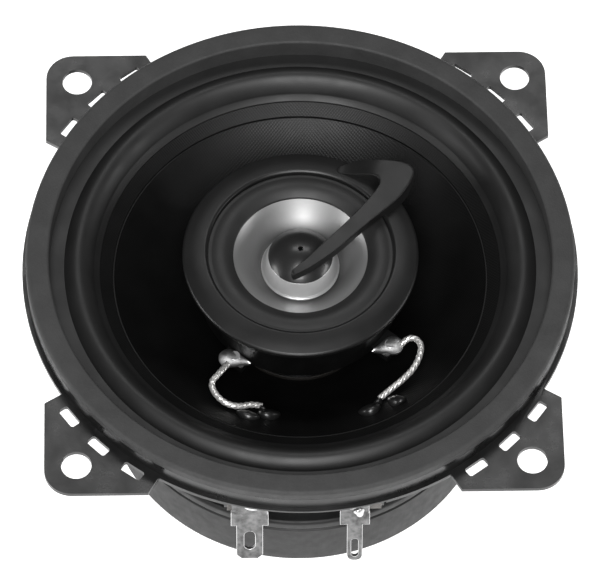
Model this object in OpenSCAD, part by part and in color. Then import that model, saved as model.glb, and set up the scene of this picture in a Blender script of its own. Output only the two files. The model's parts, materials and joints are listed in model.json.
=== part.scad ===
// Coaxial car speaker, 10 cm class: a stamped basket with four bolt ears, a
// paper cone on a half-roll surround, a ferrite motor in a rubber boot, and a
// cone tweeter in a pod that stands on a stem through the pole.
// Millimetres. +Z points out of the front; z = 0 is the back face of the ears.

/* [Flange] */
// Distance between neighbouring bolt holes, centre to centre
hole_spacing = 82; // [76:1:100]
// Diameter of each bolt hole
hole_d = 5.5; // [4:0.1:6.5]
// Distance from the raised rim's wall to a bolt hole's centre
hole_offset = 7.73; // [7:0.01:10]
// Distance from a bolt hole's centre to the ear's outer edges
ear_margin = 5.8; // [4.5:0.1:8]
// Radius of the ear's outer corner
ear_corner_r = 5; // [2:0.5:6]
// Half of the angle that one ear spans, seen from the centre
ear_half_angle = 14; // [13:0.5:17]
// Thickness of the basket's sheet steel
sheet_t = 0.9; // [0.7:0.05:1.2]
// Height of the raised rim above the ears' back face
rim_h = 3.9; // [3:0.1:6]
// Width of the flat lip between the rim's wall and the basket's outer edge
lip_w = 0.75; // [0.5:0.05:1.2]
// Width of the raised rim, wall to wall
rim_w = 2.65; // [2.3:0.05:4]
// Size of each break-off slot, along and across the ear's neck
slot_size = [4.3, 1.9];
// Corner radius of each slot
slot_corner_r = 0.5; // [0.3:0.1:0.8]
// Angle between neighbouring slots
slot_pitch = 8.8; // [8:0.1:10]

/* [Basket] */
// Height of the ledge that carries the surround's lip
ledge_z = 1.3; // [0.5:0.1:2]
// Width of the ledge, from the raised rim inwards
ledge_w = 4.3; // [3.5:0.1:6]
// Depth of the straight throat below the ledge
throat_h = 5.3; // [4:0.1:7]
// Angle that each of the four legs spans
leg_angle = 30; // [24:1:40]
// Inner and outer radius of the spider's seat
spider_seat = [27.5, 30.5];
// Height of the spider's seat above the foot plate's back face
spider_seat_h = 5.1; // [4.5:0.1:7]
// Number of rivets that hold the foot plate to the front plate
rivet_count = 4; // [3:1:6]
// Radius of the circle that the foot rivets stand on
rivet_circle_r = 21; // [18:0.5:24]
// Diameter of each foot rivet's shank
rivet_d = 3.2; // [2.5:0.1:4]

/* [Gasket and surround] */
// Thickness of the gasket ring above the raised rim
gasket_h = 2.1; // [1.5:0.1:3]
// Radial width of the gasket ring
gasket_w = 4.25; // [3.6:0.05:5.5]
// Bevel on the gasket ring's outer edge
gasket_bevel = 0.5; // [0.2:0.1:1]
// Thickness of the surround's rubber
surround_t = 0.5; // [0.4:0.1:0.8]
// Width of the surround's half roll
roll_w = 5.5; // [4.5:0.1:7]
// Height of the half roll above its edges
roll_h = 2.3; // [1.5:0.1:3]

/* [Cone and coil] */
// Height of the cone's rim above the ears' back face
cone_rim_z = 0.2; // [-1:0.1:1]
// Width of the shallow band around the cone
band_w = 3.5; // [2.5:0.1:5]
// Depth of the shallow band
band_h = 1.8; // [1.2:0.1:2.5]
// Thickness of the cone, measured along the axis
cone_t = 0.8; // [0.6:0.1:1]
// Outer radius of the voice coil's former
former_r = 13; // [12.5:0.1:13.3]
// Thickness of the former
former_t = 0.25; // [0.2:0.05:0.4]
// Height of the winding
winding_h = 9; // [7:0.5:10]
// Thickness of the winding
winding_t = 0.5; // [0.3:0.05:0.6]
// Height of the cone's neck above the spider's seat
neck_rise = 3.7; // [3.2:0.1:6]
// Travel of the cone each way
cone_travel = 2.5; // [1.5:0.1:3]

/* [Motor] */
// Depth from the ears' back face to the speaker's back
mounting_depth = 46.5; // [42:0.5:60]
// Outer radius of the ferrite ring
magnet_r = 34; // [33:0.5:40]
// Height of the ferrite ring
magnet_h = 9.5; // [8:0.5:12]
// Outer radius of the front plate and of the yoke
plate_r = 31.5; // [31:0.5:32.5]
// Thickness of the front plate
front_plate_t = 4.5; // [4:0.1:6]
// Thickness of the yoke's back plate
yoke_t = 4.3; // [4:0.1:6]
// Gap between the former and the pole
pole_gap = 0.45; // [0.3:0.05:0.7]
// Gap between the winding and the front plate
plate_gap = 0.5; // [0.35:0.05:0.8]
// Thickness of the rubber boot's wall
boot_wall = 2.3; // [1.2:0.1:2.5]
// Thickness of the rubber boot's floor
boot_floor = 1.2; // [1:0.1:2]
// Height of the boot's lip above the ferrite ring
boot_lip = 0.6; // [0.4:0.1:1.2]

/* [Tweeter] */
// Outer radius of the tweeter's bezel
bezel_r = 21.6; // [21:0.1:24]
// Inner radius of the tweeter's bezel
bezel_bore_r = 17; // [16.6:0.1:17.4]
// Outer radius of the pod below the bezel
pod_r = 18.6; // [18.2:0.1:19.5]
// Wall thickness of the pod
pod_wall = 1.7; // [1.4:0.1:2]
// Outer radius of the tweeter's cone
tweeter_cone_r = 12.4; // [11.5:0.1:13]
// Outer radius of the tweeter coil's former
tweeter_former_r = 6.3; // [6.2:0.05:6.5]
// Radius of the stem that runs down through the pole
stem_r = 4.5; // [4:0.1:6]
// Clearance between the stem and the pole's bore
stem_clearance = 0.1; // [0.05:0.01:0.2]
// Thickness of the blade that reaches over the tweeter
blade_t = 2; // [1.6:0.1:2.4]

/* [Leads and terminals] */
// Diameter of each braided lead
lead_d = 1.2; // [0.8:0.1:1.4]
// Clearance between a solder lug's shelf and the cone at the end of its travel
lug_clearance = 0.8; // [0.5:0.1:2]
// Thickness of each solder lug
lug_t = 0.4; // [0.3:0.1:0.6]
// Width of the wide blade terminal
wide_tab_w = 4.8; // [4.5:0.1:5.2]
// Width of the narrow blade terminal
narrow_tab_w = 2.8; // [2.6:0.1:3]
// Thickness of both terminals
tab_t = 0.8; // [0.5:0.1:0.9]
// Outward tilt of the blades from the vertical
tab_tilt = 22; // [10:1:35]

/* [Hidden] */
$fn = 96;
hull_fn = 32;
drop_fn = 20;
cut = 0.01;          // overshoot of a cutting tool past the face it opens
far = 200;           // larger than the whole speaker

// Flange radii, from the bolt square inwards
hole_half = hole_spacing / 2;
ear_half = hole_half + ear_margin;
rim_r = hole_half * sqrt(2) - hole_offset;
lip_r = rim_r + lip_w;
rim_in_r = rim_r - rim_w;
throat_r = rim_in_r - ledge_w;
gasket_in_r = rim_r - gasket_w;
gasket_top_z = rim_h + gasket_h;
slot_r = lip_r + 1.4;

// Motor stack, from the boot's floor upwards
back_z = -mounting_depth;
yoke_z = back_z + boot_floor;
magnet_z = yoke_z + yoke_t;
front_plate_z = magnet_z + magnet_h;
foot_z = front_plate_z + front_plate_t;
pole_r = former_r - former_t - pole_gap;
winding_r = former_r + winding_t;
plate_bore_r = winding_r + plate_gap;
boot_r = magnet_r + boot_wall;
boot_lip_w = 1;
magnet_bore_r = plate_bore_r + 1.5;
foot_bore_r = plate_bore_r + 1;

// Basket legs
seat_z = foot_z + spider_seat_h;
throat_z = ledge_z - throat_h;
leg_skew = 0.5;      // sideways part of the sheet's thickness on the sloping legs
window_low_z = seat_z + 1.4;

// Moving cone
roll_out_r = throat_r;
cone_r = roll_out_r - roll_w;
lip_seat_z = ledge_z + surround_t;
band_r = cone_r - band_w;
band_z = cone_rim_z - band_h;
neck_z = seat_z + neck_rise;
former_top_z = neck_z + 0.8;
winding_z = front_plate_z + front_plate_t / 2 - winding_h / 2;
former_bottom_z = winding_z - 0.4;

// Spider: a flat lip, a corrugated web and a flat foot on the former
spider_t = 0.5;
spider_waves = 4;
spider_wave_h = 0.9;
spider_foot_z = seat_z + 1;
spider_web = [former_r + 1.4, spider_seat[0] - 0.6];

// Solder lugs: [rivet centre, head centre, tip], seen from the front
left_lug = [[-12.2, -15.4], [-13.3, -15.7], [-9.3, -16.9]];
right_lug = [[16.3, -13.2], [16.8, -13.4], [12.9, -14.6]];
lug_head_r = 1.9;
lug_tip_r = 0.25;
lug_rivet_r = 0.8;
lug_rivet_slack = 0.05;
shelf_w = 4.8;
shelf_t = 1.5;
lug_reach_r = norm(right_lug[1]) + lug_head_r;

// Tweeter heights, all counted from the lugs' shelf
lug_z = cone_top(lug_reach_r) + cone_travel + lug_clearance + shelf_t;
pod_floor_z = lug_z - 1.3;
pod_top_z = lug_z + 11.4;
bezel_edge_z = lug_z + 11.2;
bezel_crest_z = bezel_edge_z + 0.9;
blade_top_z = bezel_crest_z + 2.6;
tweeter_rim_z = bezel_edge_z - 0.9;
tweeter_neck_z = tweeter_rim_z - 3.9;
dome_rim_z = tweeter_neck_z + 3.7;
dome_h = 2.7;
collar_foot_r = tweeter_former_r + 0.9;
collar_rim_r = tweeter_former_r - 0.4;
collar_t = 0.35;
tweeter_skin_t = 0.4;
tweeter_flare = 1.5;
tweeter_flat_r = collar_foot_r + 0.2;
tweeter_lap_r = tweeter_cone_r - 0.1;
tweeter_former_t = 0.2;
tweeter_winding_t = 0.35;
tweeter_winding_h = 2.4;
tweeter_gap = 0.25;
tweeter_yoke_r = tweeter_former_r + 3.2;
tweeter_yoke_bore_r = tweeter_former_r + 0.8;
tweeter_yoke_h = 5.7;
tweeter_yoke_floor = 1.5;
tweeter_magnet_h = 2.8;
tweeter_magnet_r = tweeter_former_r - 1.3;
pole_plate_r = tweeter_former_r - tweeter_former_t - tweeter_gap;
tweeter_yoke_top_z = pod_floor_z + tweeter_yoke_h;
pod_seat_t = 1.4;
pod_bore_r = pod_r - pod_wall;
capacitor_r = 2.2;
capacitor_l = 9;

// Stem and its screw
pod_waist_r = 10;
pod_waist_z = pod_floor_z - 6;
stem_top_z = pod_waist_z - 4.5;
pole_bore_r = stem_r + stem_clearance;
screw_recess_r = 7.2;
screw_recess_h = 2.5;
washer_r = 6.8;
washer_t = 0.8;
screw_r = 2;
screw_l = 10;
screw_head_r = 3.8;
screw_head_h = 1.5;
stem_end_z = yoke_z + screw_recess_h + 0.1;

// Terminal board on the pad at the bottom edge of the basket
pad_w = 29;
pad_low_z = -12;
pad_y = -(throat_r - 1.3);
board_w = 28;
board_t = 1.2;
board_h = 7.5;
board_y = pad_y - sheet_t - board_t;
board_top_z = -3.5;
tab_rivet_z = board_top_z - 3.7;
tab_rivet_r = 1;
tab_head_h = 8;
tab_shoulder_l = 2.5;
root_inset = 0.15;   // the root is this much narrower than the shoulders, each side
tab_bend = tab_t * tan(tab_tilt) + 0.3;
wide_tab_x = -9.9;
narrow_tab_x = 9.2;
wide_head_w = 6.8;
narrow_head_w = 5.4;
wide_tab_l = 7.7;
narrow_tab_l = 8.4;
lead_hole_z = board_top_z - 3.5;
lead_hole_r = lead_d / 2 + 0.3;

// Eyelets and glue drops on the cone, seen from the front
eyelets = [[-6.4, -26.6], [12.6, -27.1]];
eyelet_r = 0.8;
eyelet_drop = 1.2;
eyelet_rise = 0.3;
glue_drops = [[-5.6, -26.9], [-10.3, -27.8], [12, -26.7], [17.1, -25.4]];
glue_r = 1.9;
glue_rise = 0.9;
glue_film = 0.03;
trim_depth = 6;      // thickness of the tool that trims the glue to the cone

// Routes of the leads, from the lugs or the board to the cone
front_left_route = draped(hung(
    [[-13.5, -17.3, -4.3], [-14.4, -18.6, -3.9], [-15.4, -20, -3.6], [-16.3, -21.2, -3.6],
     [-16.4, -22.5, -3.8], [-15.6, -24.1, -4], [-14.3, -25.4, -4.1], [-12.7, -26, -4.4],
     [-11, -25.8, -5], [-9.7, -25.2, -5.6], [-8.4, -25, -6.1], [-7.4, -25, -6.5]],
    [-13.5, -17.3, lug_z + 1], [-7.4, -25, cone_top(norm([-7.4, -25])) + 1.5]));
front_right_route = draped(hung(
    [[18.3, -13.6, -4.3], [19.6, -12.8, -3.7], [20.8, -12.9, -3.5], [21.7, -14, -3.4],
     [21.8, -15.4, -3.5], [21.2, -17.3, -3.9], [20, -19.2, -4.3], [18.2, -21, -4.6],
     [16.5, -22.3, -5], [14.9, -23.6, -5.3], [14, -24.3, -5.5]],
    [18.3, -13.6, lug_z + 1], [14, -24.3, cone_top(norm([14, -24.3])) + 1]));
rear_left_route = hung(
    [[-12.4, -44.1, -7], [-12.4, -42.6, -7], [-12.4, -41, -7.4], [-12.6, -39, -8.8],
     [-12.6, -36.8, -10.8], [-12, -34, -12.8], [-10.7, -31.2, -13.6], [-8.8, -28.9, -13.2],
     [-7, -27.4, -12], [-6.4, -26.6, -10.6], [-6.4, -26.6, -9.05]],
    [-12.4, board_y + 0.05, lead_hole_z], rear_end(eyelets[0]));
rear_right_route = hung(
    [[11, -44.1, -7], [11, -42.6, -7], [11.5, -41.2, -7.4], [12.4, -39.2, -8.8],
     [13.2, -36.8, -10.8], [13.8, -34, -12.4], [13.9, -31.2, -12.8], [13.4, -28.9, -12],
     [12.6, -27.1, -10.3], [12.6, -27.1, -8.6]],
    [11, board_y + 0.05, lead_hole_z], rear_end(eyelets[1]));
lead_sides = 8;

// Height of the cone's front face at a radius
function cone_top(r) =
    r > band_r ? cone_rim_z - band_h * (cone_r - r) / band_w
               : band_z + (neck_z - band_z) * (band_r - r) / (band_r - former_r);

// Route whose ends are moved to the given points, and the rest by its share of the way
function hung(route, start, end) =
    let (last = len(route) - 1)
    [for (i = [0 : last])
        route[i] + (1 - i / last) * (start - route[0]) + i / last * (end - route[last])];

// Route raised to lie on the cone wherever it would run through it
function draped(route) =
    [for (p = route)
        [p[0], p[1], max(p[2], cone_top(norm([p[0], p[1]])) + lead_d / 2 + 0.3)]];

// Point just below an eyelet's lower end, where a rear lead meets it
function rear_end(p) = [p[0], p[1], cone_top(norm(p)) - cone_t - eyelet_drop - 0.04];

// Half roll as points [r, z] on its middle line, raised by a sine
function roll_line(r0, z0, r1, z1, h, steps) =
    [for (i = [0 : steps]) let (s = i / steps) [r0 + (r1 - r0) * s, z0 + (z1 - z0) * s + h * sin(180 * s)]];

// Closed outline of a sheet: a line of points and the same line lowered by t
function sheet_outline(line, t) =
    concat(line, [for (i = [len(line) - 1 : -1 : 0]) [line[i][0], line[i][1] - t]]);

// Rectangle with round corners, of two squares and four circles
module rounded_rect(w, h, r) {
    square([w - 2 * r, h], center = true);
    square([w, h - 2 * r], center = true);
    for (x = [-1, 1]) {
        for (y = [-1, 1]) {
            translate([x * (w / 2 - r), y * (h / 2 - r)])
                circle(r);
        }
    }
}

module ring(r_out, r_in, z, h) {
    translate([0, 0, z])
        difference() {
            cylinder(h = h, r = r_out);
            translate([0, 0, -cut])
                cylinder(h = h + 2 * cut, r = r_in);
        }
}

module at_corners() {
    for (i = [0 : 3]) {
        rotate(45 + 90 * i)
            children();
    }
}

function unit(v) = v / norm(v);

// Direction of a route at point i, from its neighbours
function heading(route, i) =
    unit(route[min(i + 1, len(route) - 1)] - route[max(i - 1, 0)]);

// One ring of a swept tube, square to the route
function tube_ring(p, d, r) =
    let (side = unit(cross(d, [0.3, 0.2, 1])), up = cross(side, d))
    [for (k = [0 : lead_sides - 1]) p + r * (cos(360 * k / lead_sides) * side + sin(360 * k / lead_sides) * up)];

module lead_tube(route) {
    rings = [for (i = [0 : len(route) - 1]) tube_ring(route[i], heading(route, i), lead_d / 2)];
    count = len(route);
    polyhedron(
        points = [for (one = rings) each one],
        faces = concat(
            [[for (k = [lead_sides - 1 : -1 : 0]) k]],
            [[for (k = [0 : lead_sides - 1]) (count - 1) * lead_sides + k]],
            [for (i = [0 : count - 2]) for (k = [0 : lead_sides - 1])
                let (next = (k + 1) % lead_sides)
                [i * lead_sides + k, i * lead_sides + next, (i + 1) * lead_sides + next,
                 (i + 1) * lead_sides + k]]));
}

module ear_sector() {
    reach = 2 * ear_half;
    polygon([[0, 0],
             [reach * cos(ear_half_angle), -reach * sin(ear_half_angle)],
             [reach * cos(ear_half_angle), reach * sin(ear_half_angle)]]);
}

// Flat sheet of the four ears with their bolt holes and break-off slots
module ear_sheet() {
    linear_extrude(sheet_t)
        difference() {
            intersection() {
                rounded_rect(2 * ear_half, 2 * ear_half, ear_corner_r);
                at_corners()
                    ear_sector();
            }
            circle(rim_r - sheet_t / 2);
            for (x = [-1, 1]) {
                for (y = [-1, 1]) {
                    translate([x * hole_half, y * hole_half])
                        circle(hole_d / 2);
                }
            }
            at_corners()
                slot_row();
        }
}

module slot_row() {
    for (k = [-1 : 1]) {
        rotate(slot_pitch * k)
            translate([slot_r, 0])
                rounded_rect(slot_size[1], slot_size[0], slot_corner_r);
    }
}

// Turned section of the basket: lip, raised rim, ledge, throat, legs, seat, foot
module basket_section() {
    polygon([
        [lip_r, 0],
        [lip_r, sheet_t],
        [rim_r, sheet_t],
        [rim_r, rim_h],
        [rim_in_r, rim_h],
        [rim_in_r, ledge_z],
        [throat_r, ledge_z],
        [throat_r, throat_z],
        [spider_seat[1], seat_z],
        [spider_seat[0], seat_z],
        [spider_seat[0], foot_z + sheet_t],
        [foot_bore_r, foot_z + sheet_t],
        [foot_bore_r, foot_z],
        [spider_seat[0] + sheet_t, foot_z],
        [spider_seat[0] + sheet_t, seat_z - sheet_t],
        [spider_seat[1] + leg_skew, seat_z - sheet_t],
        [throat_r + sheet_t, throat_z - 0.2],
        [throat_r + sheet_t, ledge_z - sheet_t],
        [rim_in_r + sheet_t, ledge_z - sheet_t],
        [rim_in_r + sheet_t, rim_h - sheet_t],
        [rim_r - sheet_t, rim_h - sheet_t],
        [rim_r - sheet_t, 0]]);
}

module window() {
    half = (90 - leg_angle) / 2;
    translate([0, 0, window_low_z])
        linear_extrude(throat_z - 0.8 - window_low_z)
            polygon([[0, 0], [far * cos(half), -far * sin(half)], [far * cos(half), far * sin(half)]]);
}

module basket_body() {
    difference() {
        rotate_extrude()
            basket_section();
        at_corners()
            window();
        pad_clearance();
        at_corners()
            translate([0, 0, -cut])
                linear_extrude(sheet_t + 2 * cut)
                    slot_row();
    }
    ear_sheet();
    terminal_pad();
}

// Flat pad pressed into the throat, which carries the terminal board
module terminal_pad() {
    translate([-pad_w / 2, pad_y - sheet_t, pad_low_z])
        cube([pad_w, sheet_t, ledge_z - pad_low_z]);
}

// Room in front of the pad, where the round throat would stand proud of it
module pad_clearance() {
    translate([-pad_w / 2, -far, pad_low_z])
        cube([pad_w, far + pad_y - sheet_t, ledge_z - sheet_t - pad_low_z]);
}

module foot_rivet_places() {
    for (i = [0 : rivet_count - 1]) {
        rotate(45 + 360 * i / rivet_count)
            translate([rivet_circle_r, 0, 0])
                children();
    }
}

module basket() {
    color([0.06, 0.06, 0.065])
        difference() {
            basket_body();
            foot_rivet_places()
                translate([0, 0, foot_z - 1])
                    cylinder(h = 4, r = rivet_d / 2);
            terminal_holes(pad_y - sheet_t - 1, sheet_t + 2);
        }
}

module gasket_ring() {
    color([0.2, 0.2, 0.21])
        rotate_extrude()
            polygon([
                [gasket_in_r, lip_seat_z],
                [rim_in_r, lip_seat_z],
                [rim_in_r, rim_h],
                [rim_r, rim_h],
                [rim_r, gasket_top_z - gasket_bevel],
                [rim_r - gasket_bevel, gasket_top_z],
                [gasket_in_r + 0.3, gasket_top_z],
                [gasket_in_r, gasket_top_z - 0.3]]);
}

module surround() {
    color([0.08, 0.08, 0.085])
        rotate_extrude()
            polygon(sheet_outline(
                concat([[rim_in_r, lip_seat_z]],
                       roll_line(roll_out_r, lip_seat_z, cone_r, cone_rim_z + surround_t, roll_h, 16),
                       [[cone_r - 1, cone_top(cone_r - 1) + surround_t]]),
                surround_t));
}

module cone() {
    color([0.13, 0.13, 0.135])
        difference() {
            rotate_extrude()
                polygon(sheet_outline([[cone_r, cone_rim_z], [band_r, band_z], [former_r, neck_z]], cone_t));
            for (p = eyelets) {
                translate([p[0], p[1], cone_top(norm(p)) - 4])
                    cylinder(h = 8, r = eyelet_r);
            }
        }
}

module cone_eyelets() {
    color([0.75, 0.62, 0.35])
        for (p = eyelets) {
            translate([p[0], p[1], cone_top(norm(p)) - cone_t - eyelet_drop])
                cylinder(h = eyelet_drop + cone_t + eyelet_rise, r = eyelet_r);
        }
}

// Round drops of glue that lie on the cone's front face
module cone_lead_glue() {
    color([0.05, 0.05, 0.05])
        difference() {
            for (p = glue_drops) {
                translate([p[0], p[1], cone_top(norm(p)) + glue_rise - glue_r])
                    sphere(glue_r, $fn = drop_fn);
            }
            rotate_extrude()
                polygon([[former_r, neck_z - trim_depth], [band_r, band_z - trim_depth],
                         [band_r, band_z + glue_film], [former_r, neck_z + glue_film]]);
            for (p = eyelets) {
                translate([p[0], p[1], cone_top(norm(p)) - trim_depth])
                    cylinder(h = trim_depth + eyelet_rise + glue_film, r = eyelet_r + glue_film);
            }
        }
}

// Corrugated spider between the basket's seat and the former
module spider() {
    web_steps = 8 * spider_waves;
    web = [for (i = [0 : web_steps])
        let (s = i / web_steps)
        [spider_web[1] + (spider_web[0] - spider_web[1]) * s,
         seat_z + spider_t + (spider_foot_z - seat_z) * s + spider_wave_h * sin(360 * spider_waves * s)]];
    color([0.72, 0.6, 0.3])
        rotate_extrude()
            polygon(sheet_outline(
                concat([[spider_seat[1], seat_z + spider_t]], web, [[former_r, spider_foot_z + spider_t]]),
                spider_t));
}

module voice_coil_former() {
    color([0.75, 0.72, 0.65])
        ring(former_r, former_r - former_t, former_bottom_z, former_top_z - former_bottom_z);
}

module voice_coil_winding() {
    color([0.72, 0.4, 0.2])
        ring(winding_r, former_r, winding_z, winding_h);
}

module front_plate() {
    color([0.55, 0.56, 0.58])
        difference() {
            ring(plate_r, plate_bore_r, front_plate_z, front_plate_t);
            foot_rivet_places()
                translate([0, 0, front_plate_z - 1])
                    cylinder(h = front_plate_t + 2, r = rivet_d / 2);
        }
}

module basket_rivets() {
    color([0.6, 0.6, 0.62])
        foot_rivet_places() {
            translate([0, 0, front_plate_z])
                cylinder(h = front_plate_t + sheet_t, r = rivet_d / 2);
            translate([0, 0, foot_z + sheet_t])
                cylinder(h = 0.8, r = rivet_d / 2 + 1);
        }
}

module ferrite_magnet() {
    color([0.2, 0.19, 0.19])
        ring(magnet_r, magnet_bore_r, magnet_z, magnet_h);
}

module t_yoke() {
    color([0.55, 0.56, 0.58])
        difference() {
            union() {
                translate([0, 0, yoke_z])
                    cylinder(h = yoke_t, r = plate_r);
                translate([0, 0, yoke_z])
                    cylinder(h = foot_z - yoke_z, r = pole_r);
            }
            translate([0, 0, yoke_z - 1])
                cylinder(h = foot_z - yoke_z + 2, r = pole_bore_r);
            translate([0, 0, yoke_z - 1])
                cylinder(h = screw_recess_h + 1, r = screw_recess_r);
        }
}

module magnet_boot() {
    color([0.12, 0.12, 0.125])
        rotate_extrude()
            polygon([
                [0, back_z],
                [boot_r - 1, back_z],
                [boot_r, back_z + 1],
                [boot_r, front_plate_z + boot_lip - 0.3],
                [boot_r - 0.3, front_plate_z + boot_lip],
                [magnet_r - boot_lip_w, front_plate_z + boot_lip],
                [magnet_r - boot_lip_w, front_plate_z],
                [magnet_r, front_plate_z],
                [magnet_r, yoke_z],
                [0, yoke_z]]);
}

// Holes for the terminals' rivets and for the rear leads, along Y
module terminal_holes(y, depth) {
    for (place = [[wide_tab_x + 0.6, tab_rivet_z, tab_rivet_r], [narrow_tab_x - 0.9, tab_rivet_z, tab_rivet_r],
                  [rear_left_route[0][0], lead_hole_z, lead_hole_r],
                  [rear_right_route[0][0], lead_hole_z, lead_hole_r]]) {
        translate([place[0], y, place[1]])
            rotate([-90, 0, 0])
                cylinder(h = depth, r = place[2]);
    }
}

module terminal_board() {
    color([0.35, 0.22, 0.12])
        difference() {
            translate([-board_w / 2, board_y, board_top_z - board_h])
                cube([board_w, board_t, board_h]);
            terminal_holes(board_y - 1, board_t + 2);
        }
}

// Blade terminal: a flat root on the board, then shoulders and a slotted blade
// that leans out by tab_tilt
module blade_terminal(x, head_w, blade_w, blade_l, slot, slot_from_end, corner, corner_steps, rivet_shift) {
    root_bottom_z = board_top_z - tab_head_h;
    translate([x, board_y, 0]) {
        difference() {
            translate([-head_w / 2 + root_inset, -tab_t, root_bottom_z])
                cube([head_w - 2 * root_inset, tab_t, board_top_z - 0.5 - root_bottom_z]);
            translate([rivet_shift, -tab_t - 1, tab_rivet_z])
                rotate([-90, 0, 0])
                    cylinder(h = tab_t + 2, r = tab_rivet_r);
        }
        translate([0, -tab_t, root_bottom_z])
            rotate([-90 - tab_tilt, 0, 0])
                linear_extrude(tab_t)
                    difference() {
                        blade_plan(head_w, blade_w, tab_shoulder_l + blade_l, corner, corner_steps);
                        translate([0, tab_shoulder_l + blade_l - slot_from_end - slot[1]])
                            blade_slot(slot[0] / 2, slot[1]);
                    }
    }
}

// Plan of a blade: wide shoulders, then a blade whose end corners are cut by
// arcs of the given number of straight steps
module blade_plan(head_w, blade_w, length, corner, steps) {
    half = blade_w / 2;
    right_arc = [for (i = [0 : steps])
        let (a = 90 * i / steps)
        [half - corner + corner * cos(a), length - corner + corner * sin(a)]];
    left_arc = [for (i = [steps : -1 : 0]) [-right_arc[i][0], right_arc[i][1]]];
    polygon(concat(
        [[-head_w / 2, -tab_bend], [head_w / 2, -tab_bend], [head_w / 2, tab_shoulder_l],
         [half, tab_shoulder_l]],
        right_arc, left_arc,
        [[-half, tab_shoulder_l], [-head_w / 2, tab_shoulder_l]]));
}

module blade_slot(r, length) {
    translate([-r, r])
        square([2 * r, length - 2 * r]);
    for (y = [r, length - r]) {
        translate([0, y])
            circle(r);
    }
}

module terminal_wide() {
    color([0.85, 0.85, 0.87])
        blade_terminal(wide_tab_x, wide_head_w, wide_tab_w, wide_tab_l, [2, 4.2], 2.2, 0.9, 1, 0.6);
}

module terminal_narrow() {
    color([0.85, 0.85, 0.87])
        blade_terminal(narrow_tab_x, narrow_head_w, narrow_tab_w, narrow_tab_l, [1.3, 4.2], 0.9, 1.2, 6, -0.9);
}

module terminal_rivets() {
    color([0.8, 0.8, 0.82])
        for (x = [wide_tab_x + 0.6, narrow_tab_x - 0.9]) {
            translate([x, board_y - tab_t - 0.5, tab_rivet_z])
                rotate([-90, 0, 0]) {
                    cylinder(h = 0.5, r = tab_rivet_r + 0.7);
                    cylinder(h = 0.5 + tab_t + board_t + sheet_t, r = tab_rivet_r);
                }
        }
}

module terminal_solder() {
    color([0.8, 0.8, 0.82])
        intersection() {
            translate([narrow_tab_x + 0.8, board_y - tab_t, tab_rivet_z - 3.3])
                sphere(1.1);
            translate([narrow_tab_x - 5, board_y - tab_t - 5, tab_rivet_z - 6])
                cube([10, 5, 12]);
        }
}

module rear_lead_left() {
    color([0.8, 0.8, 0.8])
        lead_tube(rear_left_route);
}

module rear_lead_right() {
    color([0.8, 0.8, 0.8])
        lead_tube(rear_right_route);
}

module front_lead_left() {
    color([0.85, 0.85, 0.85])
        lead_tube(front_left_route);
}

module front_lead_right() {
    color([0.85, 0.85, 0.85])
        lead_tube(front_right_route);
}

// Shelf on the pod's flank that carries one lug
module lug_shelf(lug) {
    angle = atan2(lug[0][1], lug[0][0]);
    rotate(angle)
        translate([pod_bore_r + 0.3, -shelf_w / 2, lug_z - shelf_t])
            cube([norm(lug[0]) + 1.2 - pod_bore_r - 0.3, shelf_w, shelf_t]);
}

module lug_rivet_hole(lug) {
    translate([lug[0][0], lug[0][1], lug_z - shelf_t - 1])
        cylinder(h = shelf_t + 2, r = lug_rivet_r + lug_rivet_slack);
}

module tweeter_pod() {
    color([0.09, 0.09, 0.095])
        difference() {
            union() {
                rotate_extrude()
                    polygon([
                        [screw_r, stem_end_z],
                        [stem_r, stem_end_z],
                        [stem_r, stem_top_z],
                        [stem_r + 1.5, stem_top_z + 1.5],
                        [pod_waist_r, pod_waist_z],
                        [pod_r, pod_floor_z],
                        [pod_r, pod_top_z],
                        [pod_bore_r, pod_top_z],
                        [pod_bore_r, pod_floor_z],
                        [tweeter_yoke_r + pod_seat_t, pod_floor_z],
                        [tweeter_yoke_r + pod_seat_t, pod_floor_z + 3],
                        [tweeter_yoke_r + 0.05, pod_floor_z + 3],
                        [tweeter_yoke_r + 0.05, pod_floor_z],
                        [0, pod_floor_z],
                        [0, stem_end_z + screw_l + 0.5],
                        [screw_r, stem_end_z + screw_l + 0.5]]);
                lug_shelf(left_lug);
                lug_shelf(right_lug);
            }
            lug_rivet_hole(left_lug);
            lug_rivet_hole(right_lug);
        }
}

// Bezel section: a sloping crown, a small lip at the bore, a skirt over the pod
module bezel_section() {
    polygon([
        [pod_r, bezel_edge_z - 2.4],
        [bezel_r - 0.5, bezel_edge_z - 1.6],
        [bezel_r, bezel_edge_z - 1.1],
        [bezel_r, bezel_edge_z - 0.3],
        [bezel_r - 0.3, bezel_edge_z],
        [bezel_bore_r + 0.4, bezel_crest_z],
        [bezel_bore_r, bezel_crest_z - 0.25],
        [bezel_bore_r, pod_top_z],
        [pod_r, pod_top_z]]);
}

// Plan of the arm: it leaves the bezel's edge, turns at a rounded corner and
// runs back as a tapering blade to a free tip just past the centre
module arm_plan() {
    polygon([
        [8.3, 15.9], [10.4, 18.4], [14.6, 18], [17.4, 17.7], [19.4, 17.3], [20.6, 16.6], [21.2, 15.5],
        [21, 14.2], [19.6, 11.5], [17.8, 9.1], [14.3, 6], [10.9, 2.9], [6.7, -1.3], [4, -3.4],
        [-0.6, -6.3], [-1.6, -6.6], [-2, -6.1], [-1.4, -5.3], [0, -4.3], [4.4, 0.4], [9.1, 5.3],
        [13.3, 10.4], [14.8, 12.9], [14.4, 14.2], [12.3, 15.2]]);
}

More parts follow.
